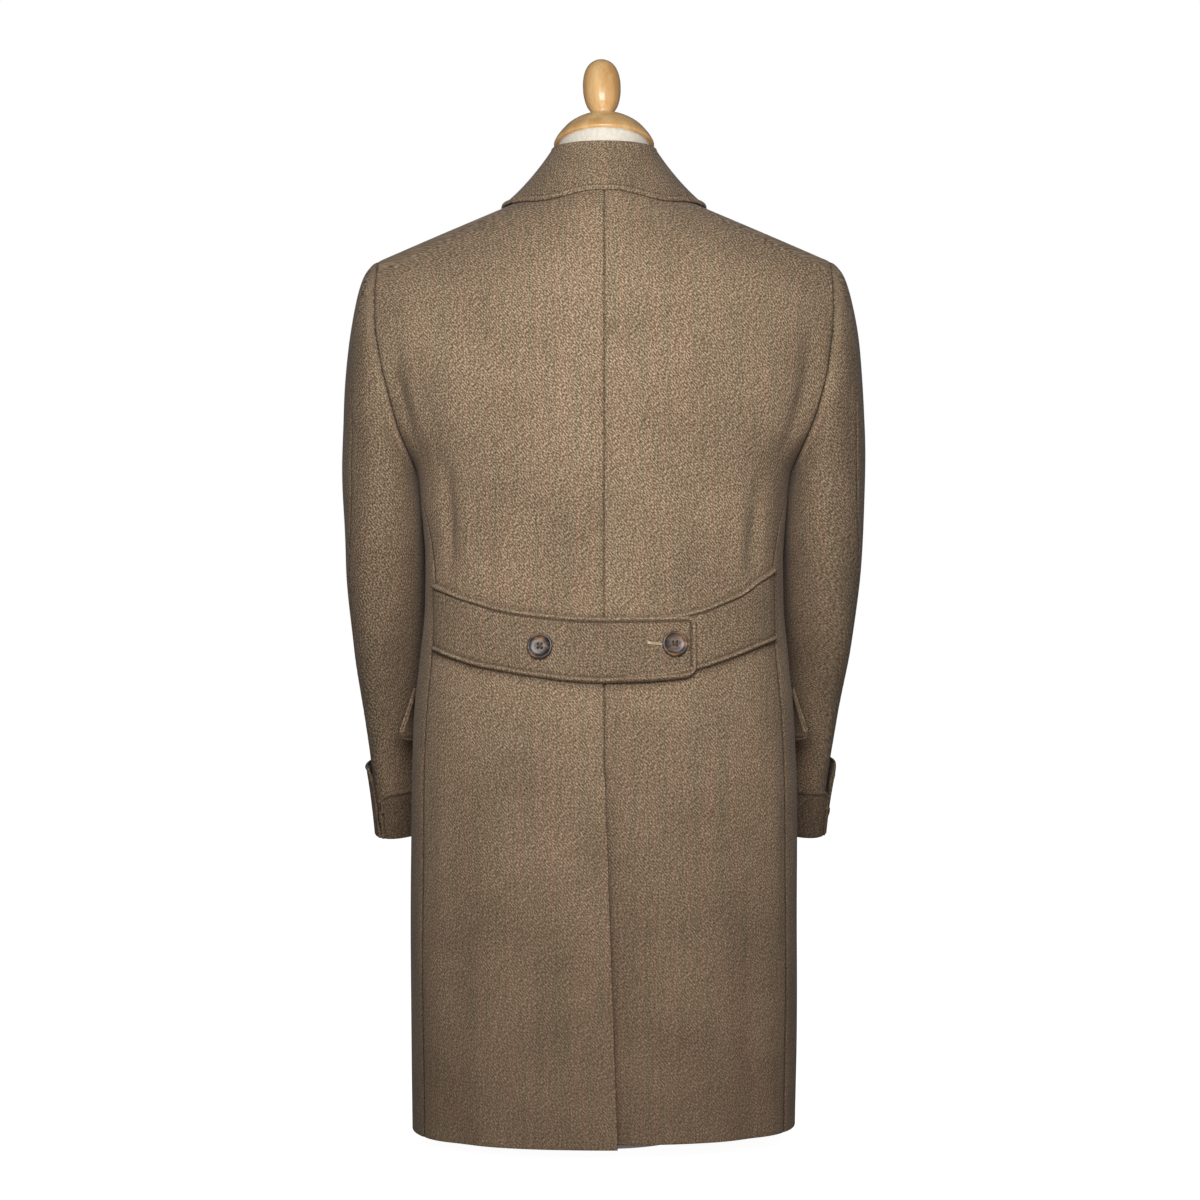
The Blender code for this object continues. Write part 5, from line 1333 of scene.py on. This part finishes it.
# Torso: level ovals up to the chest, then ovals that shrink under the shoulders' roof, then the neck
def formTorso():
    angle = np.arange(form["steps"]) * 2 * math.pi / form["steps"]
    behind = np.cos(angle) >= 0
    low = np.linspace(form["torsoBottom"], form["levelTop"], form["levelRows"])[:, None]
    level = levelAt(torsoLevels, low)
    lowX = level["halfWidth"] * np.sin(angle)
    lowY = -np.where(behind, level["back"], level["front"]) * np.cos(angle)
    chest = levelAt(torsoLevels, form["chest"])
    depth = np.where(behind, chest["back"], chest["front"])
    rounding = np.where(behind, coat["backRounding"], coat["frontRounding"])
    neckX, neckY = form["neckWide"] * np.sin(angle), -form["neckDeep"] * np.cos(angle)
    at = np.linspace(0, len(roofShares) - 1, form["roofRows"])
    share = np.interp(at, np.arange(len(roofShares)), roofShares)[:, None]
    x = neckX + share * (chest["halfWidth"] * np.sin(angle) - neckX)
    y = neckY + share * (-depth * np.cos(angle) - neckY)
    limit = depth * np.sqrt(np.maximum(1 - (x / (chest["halfWidth"] * form["roofWider"])) ** 2, 0.04))
    reach = np.clip(np.abs(y) / limit, 0.0, 1.0)
    drop = form["drop"] + form["neckDrop"] * ease((form["neckDropFrom"] - np.abs(x)) / form["neckDropOver"])
    z = np.maximum(ridgeHeight(x) - drop - rounding * (1 - np.sqrt(1 - reach ** 2)), form["roofLow"])
    slope = neckY * math.tan(math.radians(form["capTilt"]))
    rise = np.linspace(0.0, 1.0, form["neckRows"])[:, None]
    neckTop = form["capHeight"] - form["neckGap"] - slope
    neckZ = (form["neckLow"] - slope * form["neckLowTilt"]) * (1 - rise) + neckTop * rise
    parts = ((lowX, x, neckX + 0 * rise), (lowY, y, neckY + 0 * rise), (low + 0 * lowX, z, neckZ))
    points = np.stack([np.concatenate(part) for part in parts], axis=-1)
    seam = bell(points[..., 0], form["seamWidth"]) * (points[..., 1] < 0)
    # the canvas cover's seam down the nape
    points[..., 1] += form["seam"] * seam * ease((points[..., 2] - form["seamFrom"]) / form["seamOver"])
    torso = putMesh("canvas_torso", points.reshape(-1, 3), tubeFaces(*points.shape[:2]), canvas)
    settle(torso, "canvas", "form_torso")


# Base and pole: a round plate with softened edges and a plain tube
def formStand():
    high, soft, gap = form["baseHeight"], form["edge"], coat["seamGap"]
    inner = form["baseRadius"] - soft
    bend = np.radians(np.linspace(0, 90, 7))
    lowEdge = np.stack([inner + soft * np.sin(bend), soft - soft * np.cos(bend)], axis=-1)
    highEdge = np.stack([inner + soft * np.cos(bend), high - soft + soft * np.sin(bend)], axis=-1)
    tube = np.array([(form["poleRadius"], high + gap), (form["poleRadius"], form["torsoBottom"] - gap)])
    plate = np.concatenate([lowEdge, highEdge])
    for name, node, profile, steps in (("base_plate", "form_base", plate, form["steps"]),
                                       ("pole", "form_pole", tube, form["poleSteps"])):
        piece = putMesh(name, *turnedPoints(profile, steps), steel)
        piece.modifiers.new("corners", "EDGE_SPLIT").split_angle = math.radians(40)
        settle(piece, "pale_steel", node)


button = {
    "rings": 90, "steps": 120, "holeRadius": 0.00115, "holeReach": 0.0026, "holeDepth": 0.0022,
    "holeSoft": 0.00035, "threadRadius": 0.00042, "threadApart": 0.00038, "threadFoot": 0.0016,
    "threadRise": 0.0017, "threadOver": 0.0005,
}
buttonProfile = (
    (0.0098, 0.0000), (0.0122, 0.0010), (0.0130, 0.0024), (0.0126, 0.0038), (0.0114, 0.0042),
    (0.0098, 0.0034), (0.0078, 0.0027), (0.0050, 0.0025), (0.0004, 0.0025),
)


# Tubes of thread along open paths, as one mesh: a round profile on each path's own cross directions
def threadTubes(name, paths, radius, finish, sides=8):
    points, faces = [], []
    turn = (np.arange(sides) * 2 * math.pi / sides)[:, None]
    for path in paths:
        ahead = unit(np.gradient(path, axis=0))
        aside = unit(np.cross(ahead, np.array([0.31, 0.93, 0.17])))  # from a direction that no path takes
        up = np.cross(aside, ahead)
        tube = tubeFaces(len(path), sides, len(path) * sides * len(points))
        faces += [face[:1] + face[:0:-1] for face in tube]
        ring = path[:, None] + radius * (aside[:, None] * np.cos(turn) + up[:, None] * np.sin(turn))
        points.append(ring.reshape(-1, 3))
    return settle(putMesh(name, np.concatenate(points), faces, finish), "covert_cloth")


# Button: a turned rim and dished face, four round holes pressed in it, and a crossed thread through them
def hornButton(label, place):
    x, height = np.array([place[0]]), np.array([place[1]])
    angle = angleAt(x, height)
    low = beltLow(x) + coat["cloth"] + belt["buttonLay"]
    foot = onBody(angle, height, low)[0]
    ahead = unit(onBody(angle, height, low + 0.02)[0] - foot)
    right = unit(np.cross(np.array([0.0, 0.0, 1.0]), ahead))
    axes = np.stack([right, np.cross(ahead, right), ahead])
    points, faces = turnedPoints(finerProfile(buttonProfile, button["rings"]), button["steps"])
    corners = np.radians(45 + 90 * np.arange(4))
    holes = button["holeReach"] * np.stack([np.cos(corners), np.sin(corners)], axis=-1)
    off = np.linalg.norm(points[:, None, :2] - holes[None], axis=-1).min(axis=1)
    onFace = np.repeat(np.arange(button["rings"]) > button["rings"] * 0.5, button["steps"])
    pressed = ease((button["holeRadius"] - off) / button["holeSoft"] + 0.5)
    points[:, 2] -= button["holeDepth"] * pressed * onFace
    settle(putMesh(f"{label}_horn_button", points @ axes + foot, faces, horn), "horn", f"belt_button_{label}")
    along = np.linspace(0.0, 1.0, 15)[:, None]
    strands = []
    for k, (a, b) in enumerate(((0, 2), (1, 3))):
        reach = holes[b] - holes[a]
        for shift in (-button["threadApart"], button["threadApart"]):
            flat = holes[a] + reach * along + unit(np.array([-reach[1], reach[0]])) * shift
            rise = (button["threadRise"] + button["threadOver"] * k) * np.sin(math.pi * along) ** 0.6
            strands.append(np.concatenate([flat, button["threadFoot"] + rise], axis=1) @ axes + foot)
    threadTubes(f"{label}_button_thread", strands, button["threadRadius"], thread)


hole = {
    "first": 0.0440, "last": 0.0700, "height": 0.5163, "tilt": 0.0016, "halfWidth": 0.0006, "turns": 74,
    "turnLong": 0.0006, "turnWide": 0.0007, "lay": 0.0007, "turnHigh": 0.0005, "thread": 0.00026,
}


# Buttonhole: a slit worked round with thread, a long narrow loop of fine turns lying on the belt
def workedHole():
    t = np.linspace(0.0, 2 * math.pi, 900)
    turns = hole["turns"] * t
    half = (hole["last"] - hole["first"]) / 2
    x = (hole["first"] + hole["last"]) / 2 + (half + hole["turnLong"] * np.cos(turns)) * np.cos(t)
    aside = (hole["halfWidth"] + hole["turnWide"] * np.cos(turns)) * np.clip(3.0 * np.sin(t), -1, 1)
    height = hole["height"] - hole["tilt"] * np.cos(t) + aside
    out = beltLow(x) + coat["cloth"] + hole["lay"] + hole["turnHigh"] * np.sin(turns)
    path = onBody(angleAt(x, height), height, out)
    return threadTubes("belt_buttonhole", [path], hole["thread"], holeThread, 6)


woodenTop()
formTorso()
formStand()
for label, place in zip(sides, belt["buttons"]):
    hornButton(label, place)
buttonhole = workedHole()
print("form, buttons and buttonhole ready")

# What shows of each piece of cloth, as cut: width, length and area, how it is held, and the nodes it lies on
sheets = {
    "back": (0.270, 1.066, 0.232, "draped", "form_torso"),
    "front": (0.388, 1.056, 0.325, "draped", "form_torso"),
    "under_sleeve": (0.210, 0.602, 0.0856, "hung", "back_{0}_bodice front_{0}_bodice"),
    "top_sleeve": (0.170, 0.626, 0.0884, "hung", "back_{0}_bodice front_{0}_bodice"),
    "cuff": (0.339, 0.078, 0.0194, "folded", "top_sleeve_{0}_wrist under_sleeve_{0}_wrist"),
    "flap": (0.163, 0.057, 0.0089, "hung", "front_{0}_skirt"),
    "left_belt": (0.305, 0.080, 0.0226, "laid", "back_left_bodice back_right_bodice"),
    "right_belt": (0.188, 0.085, 0.0134, "laid", "back_right_bodice"),
    "left_lapel": (0.110, 0.290, 0.0145, "folded", "front_left_bodice"),
    "right_lapel": (0.110, 0.163, 0.0082, "folded", "front_right_bodice"),
    "collar": (0.499, 0.130, 0.0404, "folded", "back_left_bodice back_right_bodice"),
}


# States a piece's cut; the pieces sewn on it go with it
def stateCut(kind, label, piece, *sewnOn):
    width, length, area, held, nodes = sheets[kind]
    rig.sheet(piece, flat=(width, length), held=held, rests_on=nodes.format(label).split(), area=area,
             with_pieces=list(sewnOn))


for label in sides:
    for kind, piece in zip(("back", "front", "under_sleeve", "top_sleeve"), made[label]):
        stateCut(kind, label, piece)
    stateCut("cuff", label, *cuffs[label])
    stateCut("flap", label, *flaps[label])
    stateCut(f"{label}_lapel", label, *lapels[label])
stateCut("left_belt", "left", *belts["left"], buttonhole)
stateCut("right_belt", "right", *belts["right"])
stateCut("collar", "", *collarPieces)
print("cuts stated")

# Floor, light and camera
studio = {
    "key": 5.6, "keySpread": 100.0, "keySize": (0.8, 0.6), "keyPlace": (-0.04, -1.35, 1.11),
    "keyAim": (0.0, 0.0, 0.72), "fill": 17.0, "fillTint": "#FFECF8", "fillSize": (1.6, 1.2),
    "fillPlace": (0.1, -3.5, 0.60), "fillAim": (0.0, 0.0, 0.50), "ambient": 0.115, "floor": 0.95,
    "floorReach": 9, "sensor": 36.0, "lens": 94.3, "eye": (-0.0042, -3.3, 0.562),
}
floorMesh = bpy.data.meshes.new("floor")
reach = studio["floorReach"]
corners = [(-reach, -reach, 0), (reach, -reach, 0), (reach, reach, 0), (-reach, reach, 0)]
floorMesh.from_pydata(corners, [], [(0, 1, 2, 3)])
floor = bpy.data.objects.new("floor", floorMesh)
scene.collection.objects.link(floor)
# Pale floor: white studio paper, lit from within so that it burns out to white
paper = newFinish("pale_floor", Roughness=0.9, Base_Color=hexColour("#F4F4F2"),
                  Emission_Color=hexColour("#FFFFFF"), Emission_Strength=studio["floor"])[0]
floorMesh.materials.append(paper)
floor.visible_diffuse = floor.visible_glossy = False
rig.stage(floor)

world = bpy.data.worlds.new("studio")
scene.world = world
world.use_nodes = True
tree = world.node_tree
seen = addNode(tree, "ShaderNodeLightPath").outputs["Is Camera Ray"]
backdrop = tree.nodes["Background"]
backdrop.inputs["Color"].default_value = (1, 1, 1, 1)
tree.links.new(rangeOf(tree, seen, 0.0, 1.0, studio["ambient"], 1.0), backdrop.inputs["Strength"])


# A soft panel light aimed at a point
def panelLight(name, spread=180.0, tint="#FFFFFF"):
    lamp = bpy.data.lights.new(name, "AREA")
    lamp.spread, lamp.color = math.radians(spread), hexColour(tint)[:3]
    lamp.shape, lamp.energy = "RECTANGLE", studio[name]
    lamp.size, lamp.size_y = studio[f"{name}Size"]
    light = bpy.data.objects.new(name, lamp)
    scene.collection.objects.link(light)
    light.visible_camera = False
    light.location = studio[f"{name}Place"]
    x, y, z = np.subtract(studio[f"{name}Aim"], studio[f"{name}Place"])
    light.rotation_euler = (math.atan2(math.hypot(x, y), -z), 0.0, -math.atan2(x, y))


panelLight("key", spread=studio["keySpread"])
panelLight("fill", tint=studio["fillTint"])

lens = bpy.data.cameras.new("camera")
camera = bpy.data.objects.new("camera", lens)
scene.collection.objects.link(camera)
lens.sensor_width, lens.lens = studio["sensor"], studio["lens"]
camera.location = studio["eye"]
camera.rotation_euler = (math.radians(90), 0.0, 0.0)
scene.camera = camera
scene.view_settings.view_transform = "Standard"
print("floor, light and camera ready")

visualLow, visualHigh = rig.bounds()
with open("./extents.json", "w") as sizes:
    json.dump({"cad": [list(cadLow), list(cadHigh)], "visual": [list(visualLow), list(visualHigh)]}, sizes)
